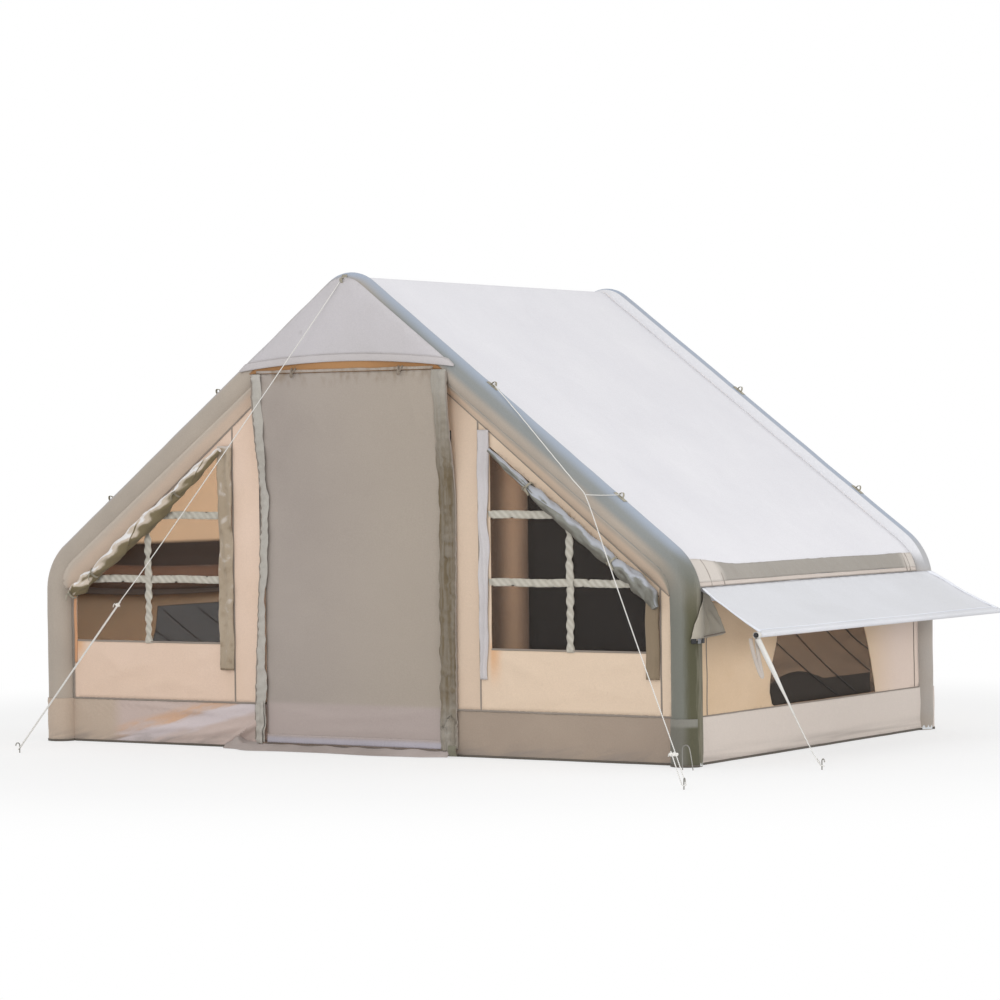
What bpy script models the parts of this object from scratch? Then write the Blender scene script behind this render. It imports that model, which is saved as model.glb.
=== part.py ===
"""Inflatable cabin tent: two air-filled arches joined by a ridge beam and two eave
beams, with cloth roof and walls, mesh windows, a hanging front door, a propped side
awning and guy lines. Metres, +Z up, front towards -Y, origin on the floor at the
middle of the tent."""

import math

import bmesh
import bpy
from mathutils import Matrix, Vector

# Air frame
HALF_SPAN = 1.584
HALF_DEPTH = 1.0275
KNEE_HEIGHT = 0.758
APEX_HEIGHT = 1.9634
KNEE_BEND = 0.200
APEX_BEND = 0.100
BEAM_RADIUS = 0.0625
RIDGE_RADIUS = 0.050
EAVE_RADIUS = 0.055
SLEEVE_WALL = 0.0025
BLADDER_WALL = 0.002
PORT_RADIUS = 0.010

# Cloth, mesh and the running gap between neighbours
CLOTH = 0.003
MESH = 0.002
GAP = 0.0003

# Roof and side walls
SEAM_HEIGHT = 0.650
EAVE_SAG = 0.040
ROOF_BELLY = 0.012
SKIRT_HEIGHT = 0.190
SIDE_WINDOW_HALF = 0.450
SIDE_WINDOW_BOTTOM = 0.200
SIDE_WINDOW_TOP = 0.560

# Front and rear walls
DOOR_HALF = 0.450
DOOR_BOTTOM = 0.030
DOOR_HEADROOM = 0.3784
DOORWAY_LAP = 0.085
WINDOW_POST = 0.225
WINDOW_SIDE = 0.119
WINDOW_BOTTOM = 0.445
WINDOW_DROP = 0.145
WEBBING = 0.030
TAPE = 0.008
BAR_RISE = 0.270
BAR_PITCH = 0.275
DOOR_TOP = APEX_HEIGHT - DOOR_HEADROOM
DOORWAY_TOP = DOOR_TOP - DOORWAY_LAP
WINDOW_INNER = DOOR_HALF + WINDOW_POST
WINDOW_OUTER = HALF_SPAN - WINDOW_SIDE
LOWER_BAR_HEIGHT = WINDOW_BOTTOM + BAR_RISE
UPPER_BAR_HEIGHT = LOWER_BAR_HEIGHT + BAR_PITCH

# Awning
AWNING_REACH = 0.3475
AWNING_ANGLE = math.radians(15.6)
AWNING_HALF = 1.090
POLE_RADIUS = 0.008

# Guy lines
CORD_RADIUS = 0.002
STRAND_OFFSET = 0.008

# Facets
FACETS = 16
KNEE_STEPS = 5
APEX_STEPS = 2
SPAN_STEPS = 8
SLOPE_STEPS = 6
ROLL_SIDES = 12
ROLL_STEPS = 10
OVERRUN = 0.020

FACET = 2 * math.pi / FACETS
CLOTH_LEAN = 3 * FACET
SLOPE = math.atan2(APEX_HEIGHT - KNEE_HEIGHT, HALF_SPAN)
RAFTER_NORMAL = math.pi / 2 - SLOPE
WRAP_RADIUS = BEAM_RADIUS + GAP + CLOTH / 2
RISE = WRAP_RADIUS * math.cos(CLOTH_LEAN)
CLOTH_HALF_DEPTH = HALF_DEPTH - (BEAM_RADIUS + GAP) * math.sin(CLOTH_LEAN) - GAP
BEAM_END = HALF_DEPTH - BEAM_RADIUS - GAP
KNEE_CENTRE = (HALF_SPAN - KNEE_BEND, KNEE_HEIGHT - KNEE_BEND * math.tan(RAFTER_NORMAL / 2))
APEX_CENTRE_HEIGHT = APEX_HEIGHT - APEX_BEND / math.cos(SLOPE)

COLOURS = {
    "sleeve": ((0.66, 0.64, 0.61), 0.8),
    "bladder": ((0.80, 0.82, 0.84), 0.35),
    "roof": ((0.85, 0.85, 0.87), 0.75),
    "hood": ((0.76, 0.74, 0.75), 0.8),
    "wall": ((0.86, 0.74, 0.62), 0.85),
    "door": ((0.62, 0.58, 0.54), 0.85),
    "skirt": ((0.60, 0.56, 0.51), 0.8),
    "mesh": ((0.10, 0.09, 0.08), 0.9),
    "webbing": ((0.66, 0.64, 0.56), 0.85),
    "curtain": ((0.70, 0.68, 0.66), 0.85),
    "ground": ((0.30, 0.29, 0.27), 0.6),
    "black_plastic": ((0.03, 0.03, 0.03), 0.45),
    "white_plastic": ((0.82, 0.82, 0.80), 0.4),
    "pole": ((0.08, 0.08, 0.085), 0.35),
    "cord": ((0.88, 0.88, 0.86), 0.7),
}


def material(slot):
    """One Principled material for each finish."""
    made = bpy.data.materials.get(slot)
    if made:
        return made
    colour, roughness = COLOURS[slot]
    made = bpy.data.materials.new(slot)
    made.use_nodes = True
    shader = made.node_tree.nodes["Principled BSDF"]
    shader.inputs["Base Color"].default_value = (*colour, 1)
    shader.inputs["Roughness"].default_value = roughness
    return made


def steel():
    """Bare wire of the pegs."""
    made = bpy.data.materials.get("steel") or bpy.data.materials.new("steel")
    made.use_nodes = True
    shader = made.node_tree.nodes["Principled BSDF"]
    shader.inputs["Base Color"].default_value = (0.35, 0.35, 0.36, 1)
    shader.inputs["Metallic"].default_value = 1
    shader.inputs["Roughness"].default_value = 0.35
    return made


def add_object(name, bm, finish, pivot=(0, 0, 0)):
    """Turns a bmesh into a named object whose origin is its pivot."""
    bmesh.ops.recalc_face_normals(bm, faces=bm.faces[:])
    bmesh.ops.translate(bm, verts=bm.verts[:], vec=-Vector(pivot))
    mesh = bpy.data.meshes.new(name)
    bm.to_mesh(mesh)
    bm.free()
    mesh.shade_smooth()
    mesh.set_sharp_from_angle(angle=math.radians(35))
    mesh.materials.append(finish)
    made = bpy.data.objects.new(name, mesh)
    made.location = pivot
    bpy.context.collection.objects.link(made)
    return made


def ring(centre, out, side, radius, sides=FACETS):
    """A ring of points around a centre, starting along its outward direction."""
    centre, out, side = Vector(centre), Vector(out), Vector(side)
    step = 2 * math.pi / sides
    angles = [step * i for i in range(sides)]
    return [centre + radius * (math.cos(a) * out + math.sin(a) * side) for a in angles]


def shell(name, rings, finish, round_again=False, pivot=(0, 0, 0)):
    """Skins a run of rings, with a cap at each end or joined into one loop."""
    bm = bmesh.new()
    rows = [[bm.verts.new(point) for point in one] for one in rings]
    pairs = list(zip(rows, rows[1:]))
    if round_again:
        pairs.append((rows[-1], rows[0]))
    for low, high in pairs:
        for i in range(len(low)):
            bm.faces.new((low[i - 1], low[i], high[i], high[i - 1]))
    if not round_again:
        bm.faces.new(rows[0])
        bm.faces.new(reversed(rows[-1]))
    return add_object(name, bm, finish, pivot)


def sheet(name, front, back, finish, pivot=(0, 0, 0)):
    """Closes the space between two grids of points, split along the same diagonals."""
    bm = bmesh.new()
    grids = [[[bm.verts.new(p) for p in row] for row in grid] for grid in (front, back)]
    last_row, last_column = len(front) - 1, len(front[0]) - 1
    for grid, turn in zip(grids, (1, -1)):
        for r in range(last_row):
            for c in range(last_column):
                near, far = grid[r][c], grid[r + 1][c + 1]
                bm.faces.new((near, grid[r][c + 1], far)[::turn])
                bm.faces.new((near, far, grid[r + 1][c])[::turn])
    a, b = grids
    for c in range(last_column):
        bm.faces.new((a[0][c + 1], a[0][c], b[0][c], b[0][c + 1]))
        bm.faces.new((a[-1][c], a[-1][c + 1], b[-1][c + 1], b[-1][c]))
    for r in range(last_row):
        bm.faces.new((a[r][0], a[r + 1][0], b[r + 1][0], b[r][0]))
        bm.faces.new((a[r + 1][-1], a[r][-1], b[r][-1], b[r + 1][-1]))
    return add_object(name, bm, finish, pivot)


def panel(name, outline, holes, thickness, place, finish, pivot=(0, 0, 0)):
    """A flat cut piece: an outline with holes, given thickness, then put in place."""
    bm = bmesh.new()
    edges = []
    for loop in [outline, *holes]:
        corners = [bm.verts.new((u, v, -thickness / 2)) for u, v in loop]
        edges += [bm.edges.new((corners[i - 1], corners[i])) for i in range(len(corners))]
    bmesh.ops.triangle_fill(bm, use_beauty=True, edges=edges)
    grown = bmesh.ops.extrude_face_region(bm, geom=bm.faces[:])["geom"]
    top = [item for item in grown if isinstance(item, bmesh.types.BMVert)]
    bmesh.ops.translate(bm, verts=top, vec=(0, 0, thickness))
    bmesh.ops.transform(bm, matrix=place, verts=bm.verts[:])
    return add_object(name, bm, finish, pivot)


def facing_front(y):
    """Places a panel drawn in (x, z) in the plane of that y."""
    return Matrix.Translation((0, y, 0)) @ Matrix.Rotation(math.pi / 2, 4, "X")


def facing_side(x):
    """Places a panel drawn in (y, z) in the plane of that x."""
    turn = Matrix(((0, 0, 1, 0), (1, 0, 0, 0), (0, 1, 0, 0), (0, 0, 0, 1)))
    return Matrix.Translation((x, 0, 0)) @ turn


def turned(name, profile, place, finish, sides, hollow, pivot=(0, 0, 0)):
    """A turned piece from (radius, height) points, hollow or solid to its axis."""
    rings = [
        [place @ point for point in ring((0, 0, height), (1, 0, 0), (0, 1, 0), radius, sides)]
        for radius, height in profile
    ]
    return shell(name, rings, finish, round_again=hollow, pivot=pivot)


def cutter(name, radius, start, end):
    """A hidden cylinder between two points, for cutting a bore."""
    start, end = Vector(start), Vector(end)
    along = (end - start).normalized()
    out = along.orthogonal().normalized()
    made = shell(name, [ring(p, out, along.cross(out), radius) for p in (start, end)], steel())
    made.hide_render = True
    made.display_type = "WIRE"
    return made


def combine(target, tool, operation):
    """Adds an exact Boolean and hides its tool."""
    tool.hide_render = True
    tool.display_type = "WIRE"
    modifier = target.modifiers.new(tool.name, "BOOLEAN")
    modifier.operation = operation
    modifier.solver = "EXACT"
    modifier.object = tool


def smooth_route(points, steps):
    """Reads points from a smooth curve through a cord's hand-chosen route."""
    route = [Vector(p) for p in points]
    route = [2 * route[0] - route[1], *route, 2 * route[-1] - route[-2]]
    read = []
    for a, b, c, d in zip(route, route[1:], route[2:], route[3:]):
        start_pull = (c - a) * min(1, (c - b).length / (b - a).length) / 2
        end_pull = (d - b) * min(1, (c - b).length / (d - c).length) / 2
        for i in range(steps):
            t = i / steps
            near, far = 1 - t, t
            read.append(
                near * near * (1 + 2 * t) * b
                + far * far * (3 - 2 * t) * c
                + near * near * t * start_pull
                - far * far * near * end_pull
            )
    return [*read, route[-2]]


def cord(name, points, radius, finish, resolution=2):
    """A round cord or wire along its points, with closed ends."""
    curve = bpy.data.curves.new(name, "CURVE")
    curve.dimensions = "3D"
    curve.bevel_depth = radius
    curve.bevel_resolution = resolution
    curve.use_fill_caps = True
    spline = curve.splines.new("POLY")
    spline.points.add(len(points) - 1)
    for knot, point in zip(spline.points, points):
        knot.co = (*point, 1)
    curve.materials.append(finish)
    made = bpy.data.objects.new(name, curve)
    bpy.context.collection.objects.link(made)
    return made


# Shape of the air frame


def half_arch(offset, foot=0.0):
    """(x, z, outward angle) up the right half, that far outside the centre line."""
    points = [(HALF_SPAN + offset, foot, 0.0)]
    for i in range(KNEE_STEPS + 1):
        angle = RAFTER_NORMAL * i / KNEE_STEPS
        reach = KNEE_BEND + offset
        x = KNEE_CENTRE[0] + reach * math.cos(angle)
        points.append((x, KNEE_CENTRE[1] + reach * math.sin(angle), angle))
    for i in range(APEX_STEPS + 1):
        angle = RAFTER_NORMAL + SLOPE * i / APEX_STEPS
        reach = APEX_BEND + offset
        x = reach * math.cos(angle)
        points.append((x, APEX_CENTRE_HEIGHT + reach * math.sin(angle), angle))
    return points


def rafter_line(x, offset):
    """Height of the line that far outside the rafter's centre line, at x."""
    return APEX_HEIGHT + offset / math.cos(SLOPE) - abs(x) * math.tan(SLOPE)


def arch_rings(y, radius, foot=0.0):
    """Rings along a whole arch, from the right foot over to the left."""
    right = half_arch(0, foot)
    left = [(-x, z, math.pi - angle) for x, z, angle in reversed(right[:-1])]
    return [
        ring((x, y, z), (math.cos(a), 0, math.sin(a)), (0, 1, 0), radius)
        for x, z, a in right + left
    ]


def eave_sag(y):
    """How far the eave hangs below its ends, at y."""
    return EAVE_SAG * (1 - (y / CLOTH_HALF_DEPTH) ** 2)


def beam_rings(x, z, radius, half_length, sag, steps):
    """Rings along a beam that runs from front to rear."""
    rings = []
    for i in range(steps + 1):
        y = half_length * (2 * i / steps - 1)
        drop = sag * (1 - (y / CLOTH_HALF_DEPTH) ** 2)
        rings.append(ring((x, y, z - drop), (1, 0, 0), (0, 0, 1), radius))
    return rings


def bladder_rings(outer, inner, port_start, port_end):
    """A closed air bladder's skin, open only at the small port in its last end."""
    return [*outer, port_start, port_end, *reversed(inner)]


TAB_LENGTH = 0.024
TAB_REACH = 0.022
TAB_THICKNESS = 0.004
TAB_HOLE = 0.005
TAB_ROOT = 0.0015
UPPER_TAB_X = 0.659
LOWER_TAB_X = 1.254


def anchor_tab(name, root, out, along):
    """A webbing tab with an eye, which stands on a sleeve and takes a guy line."""
    out, along = Vector(out).normalized(), Vector(along).normalized()
    across = along.cross(out)
    half, top = TAB_LENGTH / 2, TAB_REACH
    outline = [(-half, -TAB_ROOT), (half, -TAB_ROOT), (half, top - half / 2)]
    outline += [(half / 2, top), (-half / 2, top), (-half, top - half / 2)]
    eye = [(u, v + top / 2) for u, v, _ in ring((0, 0, 0), (1, 0, 0), (0, 1, 0), TAB_HOLE, 8)]
    place = Matrix.Translation(root) @ Matrix((along, out, across)).transposed().to_4x4()
    return panel(name, outline, [eye], TAB_THICKNESS, place, material("webbing"))


def add_tabs(sleeve, y, front):
    """Joins five guy tabs to a sleeve: two on each rafter and one at the apex."""
    for side in (-1, 1):
        for label, x in (("upper", UPPER_TAB_X), ("lower", LOWER_TAB_X)):
            out = Vector((side * math.sin(SLOPE), 0, math.cos(SLOPE)))
            along = Vector((math.cos(SLOPE), 0, -side * math.sin(SLOPE)))
            root = Vector((side * x, y, rafter_line(x, 0))) + out * BEAM_RADIUS
            combine(sleeve, anchor_tab(f"{sleeve.name}_{label}_{side}", root, out, along), "UNION")
    out = Vector((0, -front * math.sin(CLOTH_LEAN), math.cos(CLOTH_LEAN)))
    along = Vector((0, front * math.cos(CLOTH_LEAN), math.sin(CLOTH_LEAN)))
    root = Vector((0, y, APEX_CENTRE_HEIGHT + APEX_BEND)) + out * BEAM_RADIUS
    combine(sleeve, anchor_tab(f"{sleeve.name}_apex", root, out, along), "UNION")


def build_arches():
    """Front and rear arch: an outer sleeve over an air bladder."""
    made = {}
    for label, side in (("front", -1), ("rear", 1)):
        y = side * HALF_DEPTH
        outer = arch_rings(y, BEAM_RADIUS)
        inner = arch_rings(y, BEAM_RADIUS - SLEEVE_WALL)
        sleeve = shell(f"{label}_arch_sleeve", outer + inner[::-1], material("sleeve"), True)
        add_tabs(sleeve, y, -side)
        skin = BEAM_RADIUS - SLEEVE_WALL - GAP
        foot = CLOTH
        outer = arch_rings(y, skin, foot)
        inner = arch_rings(y, skin - BLADDER_WALL, foot + BLADDER_WALL)
        centre = (-HALF_SPAN, y)
        port = [
            ring((*centre, foot), (-1, 0, 0), (0, 1, 0), PORT_RADIUS),
            ring((*centre, foot + BLADDER_WALL), (-1, 0, 0), (0, 1, 0), PORT_RADIUS),
        ]
        rings = bladder_rings(outer, inner, *port)
        made[label] = (sleeve, shell(f"{label}_arch_bladder", rings, material("bladder")))
    return made


EAVE_LEAN = math.radians(25)


def eave_centre():
    """Centre of an eave beam's ends, just inside the knee of the cloth."""
    inside = (KNEE_BEND + RISE - CLOTH / 2) * math.cos(RAFTER_NORMAL / KNEE_STEPS / 2)
    reach = inside - GAP - EAVE_RADIUS
    x = KNEE_CENTRE[0] + reach * math.cos(EAVE_LEAN)
    return x, KNEE_CENTRE[1] + reach * math.sin(EAVE_LEAN)


def ridge_reach():
    """Distance of the roof cloth's middle from the ridge beam's centre."""
    return (RIDGE_RADIUS + GAP) / math.cos(SLOPE / APEX_STEPS / 2) + CLOTH / 2


def ridge_height():
    """Height of the ridge beam's centre, so that both roof slopes rest on it."""
    up = RISE - ridge_reach() + HALF_SPAN * math.sin(SLOPE)
    return KNEE_HEIGHT + up / math.cos(SLOPE)


def build_beam(label, x, z, radius, sag, steps):
    """A straight or sagging beam between the arches: sleeve and bladder."""
    outer = beam_rings(x, z, radius, BEAM_END, sag, steps)
    inner = beam_rings(x, z, radius - SLEEVE_WALL, BEAM_END, sag, steps)
    shell(f"{label}_sleeve", outer + inner[::-1], material("sleeve"), True)
    skin = radius - SLEEVE_WALL - GAP
    end = BEAM_END - CLOTH
    outer = beam_rings(x, z, skin, end, sag, steps)
    inner = beam_rings(x, z, skin - BLADDER_WALL, end - BLADDER_WALL, sag, steps)
    drop = sag * (1 - (end / CLOTH_HALF_DEPTH) ** 2)
    port = [
        ring((x, y, z - drop), (1, 0, 0), (0, 0, 1), PORT_RADIUS)
        for y in (end, end - BLADDER_WALL)
    ]
    shell(f"{label}_bladder", bladder_rings(outer, inner, *port), material("bladder"))


def build_beams():
    """Ridge beam and the two eave beams."""
    x, z = eave_centre()
    build_beam("ridge_beam", 0, ridge_height(), RIDGE_RADIUS, 0, 1)
    build_beam("left_eave_beam", -x, z, EAVE_RADIUS, EAVE_SAG, SPAN_STEPS)
    build_beam("right_eave_beam", x, z, EAVE_RADIUS, EAVE_SAG, SPAN_STEPS)


VALVE_HEIGHT = 0.350
VALVE_SHANK = 0.021
VALVE_FLANGE = 0.030
VALVE_COLLAR = 0.024
VALVE_BORE = 0.012
VALVE_THROAT = 0.008
VALVE_STEM = 0.003
VALVE_DEPTH = 0.010
VALVE_LIP = 0.004
VALVE_TALL = 0.012
VALVE_CAP_WALL = 0.0025
VALVE_HEAD = 0.003
VALVE_SIDES = 20
VALVE_CLEARANCE = 0.0005


def build_valve(sleeve, bladder):
    """Inflation valve on the rear of the left rear leg: body, sprung plunger and cap."""
    base = Vector((-HALF_SPAN, HALF_DEPTH + BEAM_RADIUS + GAP, VALVE_HEIGHT))
    place = Matrix.Translation(base) @ Matrix.Rotation(-math.pi / 2, 4, "X")
    body = [
        (VALVE_SHANK, -VALVE_DEPTH),
        (VALVE_SHANK, 0),
        (VALVE_FLANGE, 0),
        (VALVE_FLANGE, VALVE_LIP),
        (VALVE_COLLAR, VALVE_LIP),
        (VALVE_COLLAR, VALVE_TALL),
        (VALVE_BORE, VALVE_TALL),
        (VALVE_BORE, VALVE_LIP - VALVE_DEPTH),
        (VALVE_THROAT, VALVE_LIP - VALVE_DEPTH),
        (VALVE_THROAT, -VALVE_DEPTH),
    ]
    turned("valve_body", body, place, material("black_plastic"), VALVE_SIDES, True)
    head = VALVE_BORE - VALVE_CLEARANCE
    disc = (VALVE_BORE + VALVE_THROAT) / 2
    seal = -VALVE_DEPTH - GAP
    plunger = [
        (head, 2 * VALVE_HEAD),
        (head, VALVE_HEAD),
        (VALVE_STEM, VALVE_HEAD),
        (VALVE_STEM, seal),
        (disc, seal),
        (disc, seal - BLADDER_WALL),
    ]
    turned("valve_plunger", plunger, place, material("white_plastic"), VALVE_SIDES, False, base)
    inside = VALVE_COLLAR + GAP
    cap = [
        (inside + VALVE_CAP_WALL, VALVE_TALL + GAP + VALVE_CAP_WALL),
        (inside + VALVE_CAP_WALL, VALVE_LIP + GAP),
        (inside, VALVE_LIP + GAP),
        (inside, VALVE_TALL + GAP),
    ]
    turned("valve_cap", cap, place, material("black_plastic"), VALVE_SIDES, False, base)
    start = base - Vector((0, OVERRUN, 0))
    bore = cutter("valve_hole", VALVE_SHANK + VALVE_CLEARANCE, start, base + Vector((0, OVERRUN, 0)))
    combine(sleeve, bore, "DIFFERENCE")
    combine(bladder, bore, "DIFFERENCE")


# Roof


def roof_profile(side, y, offset):
    """Points from the ridge down over the knee to the eave seam, at one y."""
    belly = 1 - (y / CLOTH_HALF_DEPTH) ** 2
    reach, ridge = ridge_reach() + offset, ridge_height()
    points = []
    for i in range(APEX_STEPS + 1):
        angle = math.pi / 2 - SLOPE * i / APEX_STEPS
        points.append([max(reach * math.cos(angle), GAP / 2), ridge + reach * math.sin(angle)])
    bend = KNEE_BEND + RISE + offset
    knee = []
    for i in range(KNEE_STEPS + 1):
        angle = RAFTER_NORMAL * (1 - i / KNEE_STEPS)
        x = KNEE_CENTRE[0] + bend * math.cos(angle)
        knee.append([x, KNEE_CENTRE[1] + bend * math.sin(angle) - eave_sag(y)])
    start, end = points[-1], [knee[0][0], knee[0][1] + eave_sag(y)]
    for i in range(1, SLOPE_STEPS):
        t = i / SLOPE_STEPS
        dip = ROOF_BELLY * 4 * t * (1 - t) * belly
        x = start[0] + (end[0] - start[0]) * t - dip * math.sin(SLOPE)
        z = start[1] + (end[1] - start[1]) * t - dip * math.cos(SLOPE) - eave_sag(y) * t * t
        points.append([x, z])
    seam = [knee[-1][0], SEAM_HEIGHT - eave_sag(y)]
    return [(side * x, y, z) for x, z in points + knee + [seam]]


def build_roof():
    """Two roof cloths, each from the ridge over the eave to its seam."""
    stations = [CLOTH_HALF_DEPTH * (2 * i / SPAN_STEPS - 1) for i in range(SPAN_STEPS + 1)]
    for label, side in (("left", -1), ("right", 1)):
        front = [roof_profile(side, y, CLOTH / 2) for y in stations]
        back = [roof_profile(side, y, -CLOTH / 2) for y in stations]
        sheet(f"{label}_roof", front, back, material("roof"))


# End walls

JAMB = DOOR_HALF + GAP
GABLE_STEPS = 6
HOOD_OVERLAP = 0.010
HOOD_CORNER_LIFT = 0.012
HOOD_CORNER = DOOR_TOP + HOOD_CORNER_LIFT
HOOD_RISE = 0.040
LINTEL_LAYER = HALF_DEPTH + BEAM_RADIUS + GAP + CLOTH / 2
HOOD_LAYER = LINTEL_LAYER + CLOTH + GAP
LINTEL_RISE = 0.075
LINTEL_LAP = 0.040
LINTEL_TAPER = 0.095
LINTEL_TOP = DOOR_TOP + LINTEL_RISE
LINTEL_HALF = DOOR_HALF + LINTEL_LAP
LINTEL_TOP_HALF = LINTEL_HALF - LINTEL_TAPER
GRILLE_LAYER = HALF_DEPTH + CLOTH + GAP
CURTAIN_RADIUS = 0.030
CURTAIN_SWELL = 0.004
CURTAIN_END_SHARE = 0.7
CURTAIN_TIES = 3
CURTAIN_STEPS = 12


def wall_outline(side):
    """Wall between a leg and the doorway, up to the inside of the rafter."""
    edge = -(BEAM_RADIUS + GAP)
    points = [(x, z) for x, z, _ in half_arch(edge, SKIRT_HEIGHT + GAP)[: KNEE_STEPS + 2]]
    jamb = JAMB + GAP
    points = [(jamb, SKIRT_HEIGHT + GAP), *points, (jamb, rafter_line(jamb, edge))]
    return [(side * x, z) for x, z in points]


def window_outline(side, grow):
    """Window opening, or the mesh in it: square below, sloped along the rafter."""
    low, inner, outer = WINDOW_BOTTOM - grow, WINDOW_INNER - grow, WINDOW_OUTER + grow
    points = [(inner, low), (outer, low)]
    points += [(x, rafter_line(x, grow - WINDOW_DROP)) for x in (outer, inner)]
    return [(side * x, z) for x, z in points]


def gable_outline():
    """Cloth above the doorway, up to the inside of the apex."""
    edge = -(BEAM_RADIUS + GAP)
    apex = [(x, z) for x, z, _ in half_arch(edge)[-APEX_STEPS - 1 :]]
    right = [(JAMB, DOORWAY_TOP + GAP), (JAMB, rafter_line(JAMB, edge)), *apex]
    return right + [(-x, z) for x, z in reversed(right[:-1])]


def hood_outline():
    """Pale hood over the apex, with a hem that curves up over the door."""
    half = (APEX_HEIGHT + HOOD_OVERLAP / math.cos(SLOPE) - HOOD_CORNER) / math.tan(SLOPE)
    apex = [(x, z) for x, z, _ in half_arch(HOOD_OVERLAP)[-APEX_STEPS - 1 :]]
    right = [(half, HOOD_CORNER), *apex]
    points = right + [(-x, z) for x, z in reversed(right[:-1])]
    for i in range(1, 2 * GABLE_STEPS):
        x = half * (i / GABLE_STEPS - 1)
        points.append((x, HOOD_CORNER + HOOD_RISE * (1 - (x / half) ** 2)))
    return points


def pane(left, right, low, high):
    """One opening of a window grille, cut off along the slope of the rafter."""
    def top(x):
        return rafter_line(x, -WINDOW_DROP - TAPE)

    def across(z):
        return (APEX_HEIGHT - (WINDOW_DROP + TAPE) / math.cos(SLOPE) - z) / math.tan(SLOPE)

    if across(low) - left < WEBBING:
        return []
    points = [(left, low), (min(right, across(low)), low)]
    if right < across(low):
        points.append((right, min(high, top(right))))
    if top(right) < high < top(left):
        points.append((across(high), high))
    points.append((left, min(high, top(left))))
    return points


def grille(label, side):
    """Webbing sewn over a window: a tape round it, an upright and two level bars."""
    half = WEBBING / 2
    upright = (WINDOW_INNER + WINDOW_OUTER) / 2
    columns = [(WINDOW_INNER + TAPE, upright - half), (upright + half, WINDOW_OUTER - TAPE)]
    rows = [
        (WINDOW_BOTTOM + TAPE, LOWER_BAR_HEIGHT - half),
        (LOWER_BAR_HEIGHT + half, UPPER_BAR_HEIGHT - half),
        (UPPER_BAR_HEIGHT + half, APEX_HEIGHT),
    ]
    panes = [pane(*column, *row) for column in columns for row in rows]
    panes = [[(side * x, z) for x, z in one] for one in panes if one]
    place = facing_front(-GRILLE_LAYER)
    outline = window_outline(side, TAPE)
    panel(f"front_{label}_grille", outline, panes, CLOTH, place, material("webbing"))


def curtain_roll(label, side):
    """Window curtain rolled up and tied along the rafter, fuller between its ties."""
    layer = GRILLE_LAYER + CLOTH / 2 + GAP + CURTAIN_RADIUS + CURTAIN_SWELL
    out = (side * math.sin(SLOPE), 0, math.cos(SLOPE))
    rings = []
    for i in range(CURTAIN_STEPS + 1):
        t = i / CURTAIN_STEPS
        x = WINDOW_INNER + (WINDOW_OUTER - WINDOW_INNER) * t
        size = CURTAIN_RADIUS + CURTAIN_SWELL * math.cos(2 * math.pi * CURTAIN_TIES * t)
        if i in (0, CURTAIN_STEPS):
            size = CURTAIN_RADIUS * CURTAIN_END_SHARE
        centre = (side * x, -layer, rafter_line(x, -WINDOW_DROP))
        rings.append(ring(centre, out, (0, 1, 0), size, ROLL_SIDES))
    shell(f"front_{label}_curtain", rings, material("curtain"))


def build_front_and_rear():
    """Walls, gables, hoods, windows and curtains of both ends."""
    for end, y, hood_y in (("front", -HALF_DEPTH, -HOOD_LAYER), ("rear", HALF_DEPTH, LINTEL_LAYER)):
        place = facing_front(y)
        panel(f"{end}_gable", gable_outline(), [], CLOTH, place, material("wall"))
        panel(f"{end}_hood", hood_outline(), [], CLOTH, facing_front(hood_y), material("hood"))
        for label, side in (("left", -1), ("right", 1)):
            holes = [window_outline(side, 0)] if end == "front" else []
            name = f"{end}_{label}_wall"
            panel(name, wall_outline(side), holes, CLOTH, place, material("wall"))
    for label, side in (("left", -1), ("right", 1)):
        outline = window_outline(side, -GAP)
        place = facing_front(-HALF_DEPTH)
        panel(f"front_{label}_mesh", outline, [], MESH, place, material("mesh"))
        grille(label, side)
        curtain_roll(label, side)


# Front door

DOOR_STANDOFF = 0.018
DOOR_LAYER = HALF_DEPTH + DOOR_STANDOFF
DOOR_BEND_DROP = 0.115
DOOR_BEND_HEIGHT = 0.110
DOOR_BEND_END = DOOR_TOP - DOOR_BEND_DROP
DOOR_BEND_START = DOOR_BEND_END - DOOR_BEND_HEIGHT
FLAP_LAP = 0.010
FLAP_REACH = 0.085
FLAP_EDGE_GAP = 0.004
FLAP_INNER = DOOR_HALF - FLAP_LAP
FLAP_OUTER = DOOR_HALF + FLAP_REACH
FLAP_BULGE = 0.018
FLAP_WAVE = 0.005
FLAP_WAVES = 7
DOOR_ROWS = 28


def door_layer(z):
    """How far forward the door hangs at a height: it bends out over the arch."""
    t = min(1, max(0, (z - DOOR_BEND_START) / (DOOR_BEND_END - DOOR_BEND_START)))
    return DOOR_LAYER + (LINTEL_LAYER - DOOR_LAYER) * t * t * (3 - 2 * t)


def door_heights():
    """Heights of the rows that the door and its flaps share."""
    return [DOOR_BOTTOM + (DOOR_TOP - DOOR_BOTTOM) * i / DOOR_ROWS for i in range(DOOR_ROWS + 1)]


def build_door():
    """Door cloth that hangs from the lintel, with a storm flap down each side."""
    hinge = (0, -LINTEL_LAYER - CLOTH / 2, DOOR_TOP)
    outline = [(LINTEL_HALF, DOOR_TOP + GAP), (LINTEL_TOP_HALF, LINTEL_TOP)]
    outline += [(-x, z) for x, z in reversed(outline)]
    panel("front_lintel", outline, [], CLOTH, facing_front(-LINTEL_LAYER), material("door"))
    heights = door_heights()
    faces = []
    for offset in (CLOTH / 2, -CLOTH / 2):
        faces.append(
            [[(x, -door_layer(z) - offset, z) for x in (-DOOR_HALF, 0, DOOR_HALF)] for z in heights]
        )
    sheet("front_door", *faces, material("door"), hinge)
    for label, side in (("left", -1), ("right", 1)):
        build_door_flap(label, side, hinge)


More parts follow.
